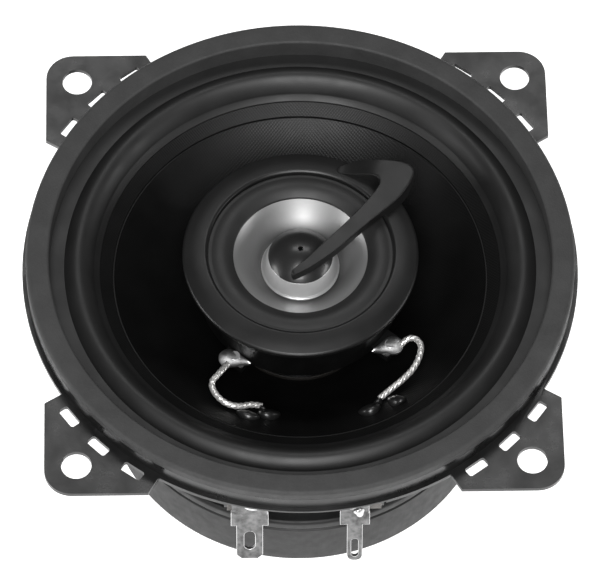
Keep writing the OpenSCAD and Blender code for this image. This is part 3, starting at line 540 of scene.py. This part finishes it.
@dataclass(frozen=True)
class Piece:
    """What a finished piece is called, wears, rides on and stands for."""

    name: str
    finish: Finish
    slot: str
    node: str
    body: str = FRAME_BODY

    def placed(self, obj: bpy.types.Object) -> bpy.types.Object:
        """Gives a piece its body and hides the node that it replaces.

        Args:
            obj: the finished object, at the origin.

        Returns:
            The same object.
        """
        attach(obj, self.body)
        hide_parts(self.node)
        LOG.info("%s: %d faces, %s", self.name, len(obj.data.polygons), self.finish.name)
        return obj

    def dressed(self, mesh: bpy.types.Mesh, crease: float) -> bpy.types.Object:
        """Makes the object, shades it smooth up to an angle and gives it the finish.

        Args:
            mesh: the piece's mesh, in metres.
            crease: angle in degrees past which an edge stays sharp.

        Returns:
            The object, which rides on nothing yet.
        """
        mesh.materials.clear()
        mesh.materials.append(self.finish.material())
        mesh.shade_smooth()
        mesh.set_sharp_from_angle(angle=math.radians(crease))
        obj = bpy.data.objects.new(self.name, mesh)
        bpy.context.scene.collection.objects.link(obj)
        return obj

    def from_shell(self, shell: Shell, crease: float = 38.0) -> bpy.types.Object:
        """Makes the object from a shell: doubles merged, faces outwards.

        Args:
            shell: points in millimetres and faces.
            crease: angle in degrees past which an edge stays sharp.

        Returns:
            The object, which rides on nothing yet.
        """
        mesh = bpy.data.meshes.new(self.name)
        faces = shell.quads.tolist() + [cap.tolist() for cap in shell.caps]
        mesh.from_pydata((shell.points * MM).tolist(), [], faces)
        edit = bmesh.new()
        edit.from_mesh(mesh)
        bmesh.ops.remove_doubles(edit, verts=edit.verts, dist=SHELL_WELD)
        bmesh.ops.recalc_face_normals(edit, faces=edit.faces)
        edit.to_mesh(mesh)
        edit.free()
        return self.dressed(mesh, crease)

    def from_node(self, edge: float, crease: float = 32.0, worn: Finish | None = None) -> bpy.types.Object:
        """Makes the object from a copy of its node, merged and with rounded edges.

        Args:
            edge: width of the edges' rounding, in millimetres.
            crease: angle in degrees past which an edge is rounded.
            worn: a second finish for the rounded edges.

        Returns:
            The object, placed.
        """
        mesh = FRAME["nodes"][self.node].data.copy()
        mesh.name = self.name
        edit = bmesh.new()
        edit.from_mesh(mesh)
        bmesh.ops.remove_doubles(edit, verts=edit.verts, dist=NODE_WELD)
        flat = math.radians(FLAT_ANGLE)
        bmesh.ops.dissolve_limit(edit, angle_limit=flat, verts=edit.verts, edges=edit.edges)
        edit.to_mesh(mesh)
        edit.free()
        obj = self.dressed(mesh, crease)
        bevel = obj.modifiers.new("rounded_edges", "BEVEL")
        bevel.width = edge * MM
        bevel.segments = 2
        bevel.limit_method = "ANGLE"
        bevel.angle_limit = math.radians(crease)
        bevel.harden_normals = True
        if worn:
            mesh.materials.append(worn.material())
            bevel.material = 1
        return self.placed(obj)

    def made(self, shell: Shell, crease: float = 38.0) -> bpy.types.Object:
        """Makes and places the object from a shell."""
        return self.placed(self.from_shell(shell, crease))

    def flexed(self, shell: Shell, other: str) -> bpy.types.Object:
        """Makes a soft piece at rest, hides its node and bakes its place into the mesh.

        No points of these shells merge, so the mesh keeps their order.

        Args:
            shell: the piece at rest.
            other: the body at the far end.

        Returns:
            The object, at rest.
        """
        obj = self.from_shell(shell)
        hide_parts(self.node)
        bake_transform(obj)
        LOG.info("%s: %d faces, bends to %s", self.name, len(obj.data.polygons), other)
        return obj


def copies(rows: tuple, body: str = FRAME_BODY) -> None:
    """Makes pieces that keep the shape of their node, with rounded edges.

    Args:
        rows: name, finish, slot, node and width of the edges' rounding.
        body: what they ride on.
    """
    for name, finish, slot, node, edge in rows:
        Piece(name, finish, slot, node, body).from_node(edge)


@dataclass
class Basket:
    """Stamped basket with its gasket ring, spider and rivets."""

    rim_r: float = 50.253
    rim_in_r: float = 47.603
    rim_h: float = 3.9
    gasket_in_r: float = 46.003
    gasket_top: float = 6.0
    gasket_bevel: float = 0.5
    lip_seat: float = 1.8
    spider_seat: tuple = (27.5, 30.5)
    spider_web: tuple = (14.4, 26.9)
    seat_z: float = -21.9
    spider_t: float = 0.5
    spider_waves: int = 4
    spider_wave_h: float = 0.9
    former_r: float = 13.0

    def gasket(self) -> Shell:
        """Ring of the gasket: flat top, bevelled outer edge, a foot inside the rim."""
        corners = [
            (self.gasket_in_r, self.lip_seat), (self.rim_in_r, self.lip_seat),
            (self.rim_in_r, self.rim_h), (self.rim_r, self.rim_h),
            (self.rim_r, self.gasket_top - self.gasket_bevel),
            (self.rim_r - self.gasket_bevel, self.gasket_top),
            (self.gasket_in_r + 0.3, self.gasket_top), (self.gasket_in_r, self.gasket_top - 0.3),
        ]
        return lathe(filleted(corners, [0.05, 0.02, 0.02, 0.1, 0.3, 0.3, 0.2, 0.2]))

    def spider(self) -> tuple:
        """Corrugated spider.

        Its web's height is z0 + rise s + h sin(2 pi n s), for s from the seat
        inwards, between a flat lip and a flat foot on the former.

        Returns:
            The shell, and each point's share of the way from the seat to the former.
        """
        s = np.linspace(0, 1, 22 * self.spider_waves + 1)
        r = self.spider_web[1] + (self.spider_web[0] - self.spider_web[1]) * s
        z = self.seat_z + self.spider_t + s + self.spider_wave_h * np.sin(2 * math.pi * self.spider_waves * s)
        line = np.concatenate([
            dense([(self.spider_seat[1], self.seat_z + self.spider_t), (r[0] + 0.01, z[0])], 0.6),
            np.stack([r, z], -1),
            [(self.former_r, self.seat_z + 1 + self.spider_t)],
        ])
        shell = lathe(sheet_outline(line, self.spider_t), 160)
        radius = np.linalg.norm(shell.points[:, :2], axis=1)
        return shell, (self.spider_web[1] - radius) / (self.spider_web[1] - self.spider_web[0])

    def build(self) -> None:
        """Makes the basket's pieces."""
        Piece("stamped_basket", PAINTED_STEEL, "painted_steel", "basket").from_node(0.14)
        Piece("gasket_foam_ring", GASKET, "gasket", "gasket_ring").made(self.gasket())
        spider, weight = self.spider()
        Piece("corrugated_spider", SPIDER_CLOTH, "spider_cloth", "spider").flexed(spider, CONE_BODY)
        Piece("foot_rivets", PLATED_STEEL, "plated_steel", "basket_rivets").from_node(0.15)


@dataclass
class Motor:
    """Ferrite motor in its rubber boot."""

    back_z: float = -46.5
    yoke_z: float = -45.3
    plate_z: float = -31.5
    boot_r: float = 36.3
    magnet_r: float = 34.0
    lip_h: float = 0.6
    lip_w: float = 1.0
    groove_z: float = -33.4
    groove_d: float = 0.35
    well_r: float = 22.0
    well_d: float = 0.5

    def boot(self) -> Shell:
        """Boot: a cup with a rolled lip, a groove round its wall and a shallow well in its floor."""
        top = self.plate_z + self.lip_h
        corners = [
            (0, self.back_z + self.well_d), (self.well_r, self.back_z + self.well_d),
            (self.well_r + 0.7, self.back_z),
            (self.boot_r - 1.6, self.back_z), (self.boot_r, self.back_z + 1.6),
            (self.boot_r, self.groove_z - 0.45), (self.boot_r - self.groove_d, self.groove_z - 0.25),
            (self.boot_r - self.groove_d, self.groove_z + 0.25), (self.boot_r, self.groove_z + 0.45),
            (self.boot_r, top - 0.5), (self.boot_r - 0.5, top),
            (self.magnet_r - self.lip_w, top), (self.magnet_r - self.lip_w, self.plate_z),
            (self.magnet_r, self.plate_z), (self.magnet_r, self.yoke_z), (0, self.yoke_z),
        ]
        radii = [0, 0.3, 0.3, 0.8, 0.8, 0.1, 0.1, 0.1, 0.1, 0.3, 0.3, 0.1, 0.05, 0.05, 0.1, 0]
        return lathe(filleted(corners, radii))

    def build(self) -> None:
        """Makes the motor's pieces."""
        Piece("magnet_boot_rubber", BOOT_RUBBER, "boot_rubber", "magnet_boot").made(self.boot())
        copies((
            ("front_plate_steel", PLATED_STEEL, "plated_steel", "front_plate", 0.3),
            ("ferrite_ring", FERRITE, "ferrite", "ferrite_magnet", 0.3),
            ("yoke_and_pole", PLATED_STEEL, "plated_steel", "t_yoke", 0.3),
            ("stem_screw_head", BRIGHT_STEEL, "bright_steel", "stem_screw", 0.12),
            ("stem_screw_washer", BRIGHT_STEEL, "bright_steel", "stem_washer", 0.1),
        ))


@dataclass
class Cone:
    """Cone with its surround, eyelets, glue and voice coil."""

    rim_r: float = 37.803
    rim_z: float = 0.2
    band_r: float = 34.303
    band_z: float = -1.6
    neck_r: float = 13.0
    neck_z: float = -18.2
    cone_t: float = 0.8
    seam_w: float = 0.16
    seam_d: float = 0.22
    surround_out_r: float = 47.603
    roll_out_r: float = 43.303
    roll_h: float = 2.3
    surround_t: float = 0.5
    lip_seat: float = 1.8
    lap_r: float = 36.803
    drop_lumps: float = 0.16
    drops: tuple = ((-6.1, -26.8, 2.1, 1.5, 0.1, 1.9), (-10.0, -27.6, 2.2, 1.3, -0.3, 1.5),
                    (12.2, -27.0, 2.0, 1.6, 0.3, 1.9), (17.0, -25.4, 1.8, 1.4, -0.6, 1.5),
                    (-7.3, -25.5, 1.0, 0.8, -0.9, 2.2), (13.8, -24.9, 1.0, 0.8, 0.9, 1.8))

    def front(self, r: np.ndarray) -> np.ndarray:
        """Height of the front face of the cone's body at a radius."""
        return self.band_z + (self.neck_z - self.band_z) * (self.band_r - r) / (self.band_r - self.neck_r)

    def cone(self) -> Shell:
        """Cone wall with a fine seam where the shallow band meets the deep body."""
        body = dense([(self.band_r - self.seam_w, self.front(self.band_r - self.seam_w)),
                      (self.neck_r, self.neck_z)], 0.9)
        line = np.concatenate([
            [(self.rim_r, self.rim_z), (self.band_r + self.seam_w, self.band_z + 0.06),
             (self.band_r + self.seam_w * 0.6, self.band_z - self.seam_d),
             (self.band_r - self.seam_w * 0.6, self.band_z - self.seam_d)],
            body,
        ])
        back = dense([(self.neck_r, self.neck_z - self.cone_t), (self.band_r, self.band_z - self.cone_t),
                      (self.rim_r, self.rim_z - self.cone_t)], 0.9)
        return lathe(np.concatenate([line, back]))

    def surround(self) -> tuple:
        """Half roll.

        From its outer edge inwards, at a share s of its width, its height is
        the straight line between the edges plus h sin(pi s)^0.8.

        Returns:
            The shell, and each point's share of the way from the basket to the cone.
        """
        s = np.linspace(0, 1, 41)
        inner_z = self.rim_z + self.surround_t
        roll = np.stack([
            self.roll_out_r + (self.rim_r - self.roll_out_r) * s,
            self.lip_seat + (inner_z - self.lip_seat) * s + self.roll_h * np.sin(math.pi * s) ** 0.8,
        ], -1)
        lap_z = inner_z + (self.band_z - self.rim_z) * (self.rim_r - self.lap_r) / (self.rim_r - self.band_r)
        line = np.concatenate([[(self.surround_out_r, self.lip_seat), (self.roll_out_r + 0.4, self.lip_seat)],
                               roll, [(self.lap_r + 0.1, lap_z), (self.lap_r, lap_z - 0.12)]])
        shell = lathe(sheet_outline(line, self.surround_t))
        radius = np.linalg.norm(shell.points[:, :2], axis=1)
        return shell, (self.roll_out_r - radius) / (self.roll_out_r - self.rim_r)

    def glue(self) -> Shell:
        """Drops of glue over the eyelets and the leads' ends, each raised by the cone's height under it."""
        drops = Shell.joined(*[
            blob((x, y, 0.0), (long, wide, high), turn, self.drop_lumps)
            for x, y, long, wide, turn, high in self.drops
        ])
        drops.points[:, 2] += self.front(np.hypot(drops.points[:, 0], drops.points[:, 1]))
        return drops

    def build(self) -> None:
        """Makes the cone's pieces."""
        surround, weight = self.surround()
        Piece("surround_half_roll", RUBBER, "surround_rubber", "surround").flexed(surround, CONE_BODY)
        Piece("woven_cone", CONE_CLOTH, "cone_paper", "cone", CONE_BODY).made(self.cone(), 30)
        Piece("brass_eyelets", BRASS, "brass_eyelet", "cone_eyelets", CONE_BODY).from_node(0.12)
        Piece("glue_drops", GLUE, "black_glue", "cone_lead_glue", CONE_BODY).made(self.glue())
        copies((
            ("coil_former_tube", FORMER, "coil_former", "voice_coil_former", 0.05),
            ("coil_windings", COIL_WIRE, "coil_wire", "voice_coil_winding", 0.1),
        ), CONE_BODY)


@dataclass
class Leads:
    """The four braided leads, with the terminals, lugs and solder at their ends."""

    diameter: float = 1.2
    held_end: float = 0.08
    front_left: tuple = (
        (-13.5, -17.3, -4.3), (-14.4, -18.6, -3.9), (-15.4, -20, -3.6), (-16.3, -21.2, -3.6),
        (-16.4, -22.5, -3.8), (-15.6, -24.1, -4), (-14.3, -25.4, -4.1), (-12.7, -26, -4.4),
        (-11, -25.8, -5), (-9.7, -25.2, -5.6), (-8.4, -25, -6.1), (-7.4, -25, -6.5))
    front_right: tuple = (
        (18.3, -13.6, -4.3), (19.6, -12.8, -3.7), (20.8, -12.9, -3.5), (21.7, -14, -3.4),
        (21.8, -15.4, -3.5), (21.2, -17.3, -3.9), (20, -19.2, -4.3), (18.2, -21, -4.6),
        (16.5, -22.3, -5), (14.9, -23.6, -5.3), (14, -24.3, -5.5))
    rear_left: tuple = (
        (-12.4, -44.1, -7), (-12.4, -42.6, -7), (-12.4, -41, -7.4), (-12.6, -39, -8.8),
        (-12.6, -36.8, -10.8), (-12, -34, -12.8), (-10.7, -31.2, -13.6), (-8.8, -28.9, -13.2),
        (-7, -27.4, -12), (-6.4, -26.6, -10.6), (-6.4, -26.6, -9.05))
    rear_right: tuple = (
        (11, -44.1, -7), (11, -42.6, -7), (11.5, -41.2, -7.4), (12.4, -39.2, -8.8),
        (13.2, -36.8, -10.8), (13.8, -34, -12.4), (13.9, -31.2, -12.8), (13.4, -28.9, -12),
        (12.6, -27.1, -10.3), (12.6, -27.1, -8.6))
    left_lug: tuple = ((-13.3, -15.7), (-9.3, -16.9))
    right_lug: tuple = ((16.8, -13.4), (12.9, -14.6))
    lug_head_r: float = 1.9
    lug_tip_r: float = 0.25
    lug_dome: float = 0.45
    lug_t: float = 0.4
    lug_z: float = -5.304
    lug_tilt: float = 0.22
    solder_at: tuple = (10.0, -44.95, -10.5)
    solder_half: tuple = (1.05, 0.75, 1.1)

    def lead(self, name: str, node: str, route: tuple) -> None:
        """Makes one lead along its route from its fixed end to the cone.

        It works out a share that runs past 0 and 1 by held_end, which nothing uses.

        Args:
            name: the piece's name.
            node: the node that it stands for.
            route: points from the fixed end to the cone.
        """
        tube = braided_tube(route, self.diameter)
        share = np.linspace(-self.held_end, 1 + self.held_end, LEAD_RINGS)
        share = np.repeat(share, len(tube.points) // LEAD_RINGS)
        Piece(name, BRAID, "braided_lead", node).flexed(tube, CONE_BODY)

    def lug(self, head: tuple, tip: tuple, tilt: float) -> Shell:
        """A lug: a domed teardrop of tinned metal.

        Along its length s, from behind the head to the tip, the half width is
        that of the head's circle and then falls straight to the tip's. Across
        it, at a share v of the half width, the top is t + h (1 - v^2) w / r,
        and the tilt lowers it towards -Y.

        Args:
            head: centre of the head.
            tip: centre of the tip.
            tilt: fall of the top for each millimetre towards -Y.

        Returns:
            The lug.
        """
        head, tip = np.array(head, float), np.array(tip, float)
        length = np.linalg.norm(tip - head)
        ahead = (tip - head) / length
        side = np.array([-ahead[1], ahead[0]])
        r, sharp = self.lug_head_r, self.lug_tip_r
        lean = (r - sharp) / length
        meet = r * lean
        behind = meet - (r + meet) * np.cos(np.linspace(0, math.pi / 2, 26))
        s = np.concatenate([behind, np.linspace(meet, length, 30)[1:]])
        s[0] = -r + 1e-4
        straight = (r * math.sqrt(1 - lean**2)) * (length + sharp - s) / (length + sharp - meet)
        half = np.where(s <= meet, np.sqrt(np.maximum(r**2 - s**2, 1e-6)), straight)
        around = 36
        angle = np.linspace(0, 2 * math.pi, around, endpoint=False)[None, :]
        v, upper = np.cos(angle), np.sin(angle) > 0
        plan = head + s[:, None, None] * ahead + (half[:, None] * v)[..., None] * side
        swell = self.lug_dome * (1 - v**2) * (half / r)[:, None]
        z = self.lug_z + np.where(upper, self.lug_t + swell, 0.0)
        z = z + np.where(upper, tilt * (plan[..., 1] - head[1]), 0.0) * (1 - v**2)
        body = Shell.grid(np.concatenate([plan, z[..., None]], -1), False, True)
        body.caps = [np.arange(around), np.arange(around) + (len(s) - 1) * around]
        return body

    def build(self) -> None:
        """Makes the leads and what they are soldered to."""
        self.lead("front_braid_left", "front_lead_left", self.front_left)
        self.lead("front_braid_right", "front_lead_right", self.front_right)
        self.lead("rear_braid_left", "rear_lead_left", self.rear_left)
        self.lead("rear_braid_right", "rear_lead_right", self.rear_right)
        Piece("board_laminate_strip", LAMINATE, "board_laminate", "terminal_board").from_node(0.1)
        for side in ("wide", "narrow"):
            Piece(f"{side}_blade_terminal", DULL_TIN, "tinned_brass", f"terminal_{side}").from_node(
                0.16, worn=TINNED)
        Piece("terminal_board_rivets", TINNED, "tinned_brass", "terminal_rivets").from_node(0.12)
        Piece("terminal_solder_bead", SOLDER, "solder", "terminal_solder").made(
            blob(self.solder_at, self.solder_half, 0.4, 0.3))
        for side, ends in (("left", self.left_lug), ("right", self.right_lug)):
            Piece(f"lug_{side}_tinned", SOLDER, "tinned_brass", f"solder_lug_{side}").made(
                self.lug(*ends, self.lug_tilt))
        Piece("lug_rivet_heads", TINNED, "tinned_brass", "lug_rivets").from_node(0.12)


@dataclass
class Tweeter:
    """Tweeter in its pod, with the bezel and the arm that reaches over the dome."""

    bezel_r: float = 21.6
    bore_r: float = 17.0
    pod_r: float = 18.6
    pod_bore_r: float = 16.9
    pod_top: float = 6.096
    edge_z: float = 5.896
    crest_z: float = 6.796
    blade_top: float = 9.396
    blade_t: float = 2.0
    arm_root_z: float = 5.55
    arm_square: float = 0.11
    arm_end_rows: float = 5.0
    root_x: float = 6.5
    root_l: float = 9.5
    root_z: float = 6.7
    cone_r: float = 12.4
    rim_z: float = 4.996
    neck_z: float = 1.096
    flat_r: float = 7.4
    flare: float = 1.5
    skin_t: float = 0.4
    roll_h: float = 0.5
    former_r: float = 6.3
    collar_foot_r: float = 7.2
    collar_rim_r: float = 5.9
    collar_t: float = 0.35
    dome_rim_z: float = 4.796
    dome_h: float = 2.7
    vent_r: float = 0.5
    outer_side: tuple = (
        (6.8, 17.9), (8.6, 18.4), (10.6, 18.6), (12.4, 18.4), (14.6, 18), (17.4, 17.7), (19.4, 17.3),
        (20.6, 16.6), (21.2, 15.5), (21, 14.2), (19.6, 11.5), (17.8, 9.1), (14.3, 6), (10.9, 2.9),
        (6.7, -1.3), (4, -3.4), (1.6, -5.2), (-0.8, -6.5), (-1.6, -6.8))
    inner_side: tuple = (
        (6.6, 16.9), (8.2, 16.4), (9.8, 15.9), (11.2, 15.5), (12.3, 15.2), (13.4, 14.85), (14.2, 14.35),
        (14.65, 13.7), (14.75, 13.0), (14.5, 12.3), (13.3, 10.4), (11.6, 8.2), (9.1, 5.3), (6.8, 2.8),
        (4.4, 0.4), (2.2, -2.0), (0.9, -3.35), (-1.0, -5.0), (-2.05, -6.0))

    def ring(self) -> Shell:
        """Bezel ring: a sloping crown, a small lip at the bore and a skirt over the pod."""
        corners = [
            (self.pod_r, self.edge_z - 2.4), (self.bezel_r - 0.5, self.edge_z - 1.6),
            (self.bezel_r, self.edge_z - 1.1), (self.bezel_r, self.edge_z - 0.3),
            (self.bezel_r - 0.3, self.edge_z), (19.4, self.edge_z + 0.58),
            (self.bore_r + 0.45, self.crest_z), (self.bore_r, self.crest_z - 0.3),
            (self.bore_r, self.pod_top), (self.pod_r, self.pod_top),
        ]
        radii = [0.1, 0.4, 0.4, 0.12, 0.12, 1.5, 0.22, 0.22, 0.05, 0.05]
        return lathe(filleted(corners, radii))

    def arm(self) -> Shell:
        """Arm from the bezel to its free tip over the dome.

        Two smooth sides are joined by sections. A section is a rounded
        rectangle between the sides: its top climbs
        smoothly from the bezel's crest at the root to the blade's height, and its bottom is
        sunk in the bezel outside the bore and at the blade's underside inside
        it, with a smooth step between.
        """
        count, around = 150, 48
        stations = np.linspace(0, 1, len(self.outer_side))
        fine = np.linspace(0, 1, count)
        outer = np.stack([np.interp(fine, stations, np.array(self.outer_side)[:, k]) for k in (0, 1)], -1)
        inner = np.stack([np.interp(fine, stations, np.array(self.inner_side)[:, k]) for k in (0, 1)], -1)
        outer, inner = smoothed(outer, 6), smoothed(inner, 6)
        angle = np.linspace(0, 2 * math.pi, around, endpoint=False)
        across, up = squared(np.cos(angle), self.arm_square), squared(np.sin(angle), self.arm_square)
        row = np.arange(count)
        ends = np.clip(np.minimum(row, row[::-1]) / self.arm_end_rows, 0, 1)
        close = np.sqrt(1 - (1 - ends) ** 2)[:, None]
        middle = (outer + inner) / 2
        half = (outer - inner) / 2 * close
        plan = middle[:, None] + half[:, None] * (2 * across - 1)[None, :, None]
        x, y = plan[..., 0], plan[..., 1]
        climb = np.clip((x - self.root_x) / self.root_l, 0, 1)
        on_root = np.clip((y - 13.2) / 1.6, 0, 1)
        fall = on_root * (1 - climb * climb * (3 - 2 * climb))
        lifted = self.blade_top - (self.blade_top - self.root_z) * fall
        rest = np.clip((np.hypot(x, y) - 17.1) / 0.5, 0, 1)
        rest = rest * rest * (3 - 2 * rest)
        low = (self.blade_top - self.blade_t) * (1 - rest) + self.arm_root_z * rest
        low = np.minimum(low, lifted - 0.4)
        mid = (lifted + low) / 2
        z = mid + (lifted - low) / 2 * (2 * up - 1)[None, :] * (0.25 + 0.75 * close)
        body = Shell.grid(np.stack([x, y, z], -1), False, True)
        body.caps = [np.arange(around), np.arange(around) + (count - 1) * around]
        return body

    def flare_z(self, r: np.ndarray) -> np.ndarray:
        """Height of the silver cone's front at a radius: neck plus rise times share to the flare."""
        share = np.clip((r - self.flat_r) / (self.cone_r - self.flat_r), 0, None)
        return self.neck_z + (self.rim_z - self.neck_z) * share**self.flare

    def silver_cone(self) -> Shell:
        """Flared cone, flat at its neck and rising to its rim."""
        r = self.cone_r + (self.flat_r - self.cone_r) * np.linspace(0, 1, 32)
        line = np.stack([r, self.flare_z(r)], -1)
        line = np.concatenate([line, [(self.former_r, self.neck_z)]])
        return lathe(sheet_outline(line, self.skin_t))

    def roll(self) -> tuple:
        """Tweeter surround.

        Its height is the straight line between its edges plus h sin(pi s).

        Returns:
            The shell, and each point's share of the way from the pod to the cone.
        """
        out_r, out_z, in_z = self.pod_bore_r - 0.6, self.pod_top - 0.2, self.rim_z + self.skin_t
        s = np.linspace(0, 1, 33)
        line = np.stack([out_r + (self.cone_r - out_r) * s,
                         out_z + (in_z - out_z) * s + self.roll_h * np.sin(math.pi * s)], -1)
        lap = np.array([self.cone_r - 0.05, self.cone_r - 0.1])
        line = np.concatenate([[(self.pod_bore_r - 0.05, out_z)], line,
                               np.stack([lap, self.flare_z(lap) + self.skin_t], -1)])
        shell = lathe(sheet_outline(line, self.skin_t))
        radius = np.linalg.norm(shell.points[:, :2], axis=1)
        return shell, (out_r - radius) / (out_r - self.cone_r)

    def collar(self) -> Shell:
        """Collar that carries the dome, with a fine bead at its foot."""
        t = self.collar_t
        corners = [
            (self.collar_foot_r, self.neck_z), (self.collar_foot_r, self.neck_z + 0.2),
            (self.collar_foot_r - 0.16, self.neck_z + 0.34), (self.collar_foot_r - 0.2, self.neck_z + 0.42),
            (self.collar_foot_r - 0.14, self.neck_z + 0.52), (self.collar_foot_r - 0.26, self.neck_z + 0.66),
            (self.collar_rim_r, self.dome_rim_z), (self.collar_rim_r - t, self.dome_rim_z),
            (self.collar_foot_r - 0.26 - t, self.neck_z + 0.66), (self.collar_foot_r - t, self.neck_z),
        ]
        return lathe(filleted(corners, [0.02, 0.08, 0.05, 0.05, 0.05, 0.1, 0.12, 0.1, 0.1, 0.02]))

    def dome(self) -> Shell:
        """Spherical cap with a round vent at its top.

        The front face's height is c + sqrt(R^2 - r^2), with R from the rim's
        radius and the cap's height.
        """
        ball = (self.collar_rim_r**2 + self.dome_h**2) / (2 * self.dome_h)
        centre = self.dome_rim_z + self.dome_h - ball
        r = np.linspace(self.collar_rim_r, self.vent_r, 40)
        front = np.stack([r, centre + np.sqrt(ball**2 - r**2)], -1)
        inner = ball - self.skin_t
        back_r = np.linspace(self.vent_r, math.sqrt(inner**2 - (self.dome_rim_z - centre) ** 2), 30)
        back = np.stack([back_r, centre + np.sqrt(inner**2 - back_r**2)], -1)
        return lathe(np.concatenate([front, back]))

    def build(self) -> None:
        """Makes the tweeter's pieces."""
        ring_and_arm = Shell.joined(self.ring(), self.arm())
        Piece("bezel_with_arm", BEZEL_PLASTIC, "bezel_plastic", "tweeter_bezel").made(ring_and_arm)
        Piece("pod_and_stem", POD_PLASTIC, "pod_plastic", "tweeter_pod").from_node(0.15)
        roll, weight = self.roll()
        Piece("tweeter_foam_roll", TWEETER_FOAM, "tweeter_surround_foam", "tweeter_surround").flexed(
            roll, DOME_BODY)
        for name, finish, slot, node, shell in (
            ("silver_tweeter_cone", SILVER, "silver_cone", "tweeter_cone", self.silver_cone()),
            ("dome_collar", COLLAR, "silver_collar", "tweeter_collar", self.collar()),
            ("vented_dome", DOME_FILM, "dome_film", "tweeter_dome", self.dome()),
        ):
            Piece(name, finish, slot, node, DOME_BODY).made(shell)
        copies((
            ("tweeter_coil_tube", FORMER, "coil_former", "tweeter_former", 0.04),
            ("tweeter_coil_wire", COIL_WIRE, "coil_wire", "tweeter_winding", 0.06),
        ), DOME_BODY)
        copies((
            ("tweeter_yoke_cup", PLATED_STEEL, "plated_steel", "tweeter_yoke", 0.15),
            ("tweeter_magnet_disc", NEODYMIUM, "neodymium", "tweeter_magnet", 0.15),
            ("tweeter_pole_disc", PLATED_STEEL, "plated_steel", "tweeter_pole_plate", 0.1),
            ("crossover_capacitor", SLEEVE, "capacitor_sleeve", "tweeter_capacitor", 0.35),
        ))


@dataclass
class Studio:
    """Pale floor, soft lights and the camera."""

    floor_z: float = -46.52
    floor_half: float = 3.0
    elevation: float = 58.97
    turn: float = 2.057
    roll: float = 1.127
    distance: float = 0.99785
    aim_z: float = 0.001
    lens: float = 326.17
    shift: tuple = (-0.0004, -0.0427)

    def floor(self) -> None:
        """A wide plane of quads under the boot."""
        side = np.linspace(-self.floor_half, self.floor_half, 13)
        x, y = np.meshgrid(side, side, indexing="ij")
        shell = Shell.grid(np.stack([x, y, np.full_like(x, self.floor_z * MM)], -1), False, False)
        mesh = bpy.data.meshes.new("floor")
        mesh.from_pydata(shell.points.tolist(), [], shell.quads.tolist())
        graph = Graph("floor_paint")
        graph.shader.inputs["Base Color"].default_value = (0.86, 0.86, 0.86, 1)
        graph.shader.inputs["Roughness"].default_value = 0.9
        graph.shader.inputs["Emission Color"].default_value = (1, 1, 1, 1)
        graph.shader.inputs["Emission Strength"].default_value = 0.85
        mesh.materials.append(graph.material)
        obj = bpy.data.objects.new("floor", mesh)
        bpy.context.scene.collection.objects.link(obj)

    def light(
        self, name: str, azimuth: float, elevation: float, reach: float, size: tuple, power: float
    ) -> None:
        """An area light that faces the speaker.

        Args:
            name: the light's name.
            azimuth: degrees from the camera's side, towards +X.
            elevation: degrees above the floor.
            reach: distance in metres.
            size: width and height in metres.
            power: watts.
        """
        data = bpy.data.lights.new(name, "AREA")
        data.shape, data.size, data.size_y, data.energy = "RECTANGLE", size[0], size[1], power
        a, e = math.radians(azimuth), math.radians(elevation)
        back = Vector((math.sin(a) * math.cos(e), -math.cos(a) * math.cos(e), math.sin(e)))
        obj = bpy.data.objects.new(name, data)
        obj.location = back * reach
        obj.rotation_mode = "QUATERNION"
        obj.rotation_quaternion = back.to_track_quat("Z", "Y")
        bpy.context.scene.collection.objects.link(obj)

    def camera(self) -> None:
        """Camera above the near side, with a slight roll."""
        e, a, roll = (math.radians(v) for v in (self.elevation, self.turn, self.roll))
        back = Vector((-math.cos(e) * math.sin(a), -math.cos(e) * math.cos(a), math.sin(e)))
        right = Vector((0, 0, 1)).cross(back).normalized()
        up = back.cross(right)
        tilted_right = right * math.cos(roll) + up * math.sin(roll)
        tilted_up = up * math.cos(roll) - right * math.sin(roll)
        data = bpy.data.cameras.new("camera")
        data.sensor_width, data.lens = 36.0, self.lens
        data.shift_x, data.shift_y = self.shift
        data.clip_start, data.clip_end = 0.05, 20.0
        camera = bpy.data.objects.new("camera", data)
        camera.matrix_world = Matrix.Translation(back * self.distance + Vector((0, 0, self.aim_z))) @ Matrix(
            (tilted_right, tilted_up, back)).transposed().to_4x4()
        bpy.context.scene.collection.objects.link(camera)
        bpy.context.scene.camera = camera

    def build(self) -> None:
        """Sets up the floor, lights, surroundings and camera."""
        self.floor()
        self.light("key_softbox", -6, 54, 1.1, (0.42, 0.75), 13)
        self.light("left_strip", -80, 16, 1.0, (0.5, 0.12), 2.6)
        self.light("right_strip", 80, 16, 1.0, (0.5, 0.12), 2.0)
        self.light("far_softbox", 176, 58, 1.2, (0.8, 0.25), 2.6)
        world = bpy.data.worlds.new("studio")
        world.use_nodes = True
        background = world.node_tree.nodes["Background"]
        background.inputs["Color"].default_value = (1, 1, 1, 1)
        background.inputs["Strength"].default_value = 0.05
        scene = bpy.context.scene
        scene.world = world
        scene.view_settings.view_transform = "Standard"
        self.camera()


def main() -> None:
    """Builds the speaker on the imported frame."""
    logging.basicConfig(level=logging.INFO, format="%(name)s: %(message)s")
    FRAME.update(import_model())
    Studio().build()
    for assembly in (Basket(), Motor(), Cone(), Leads(), Tweeter()):
        LOG.info("building %s", type(assembly).__name__)
        assembly.build()


if __name__ == "__main__":
    main()
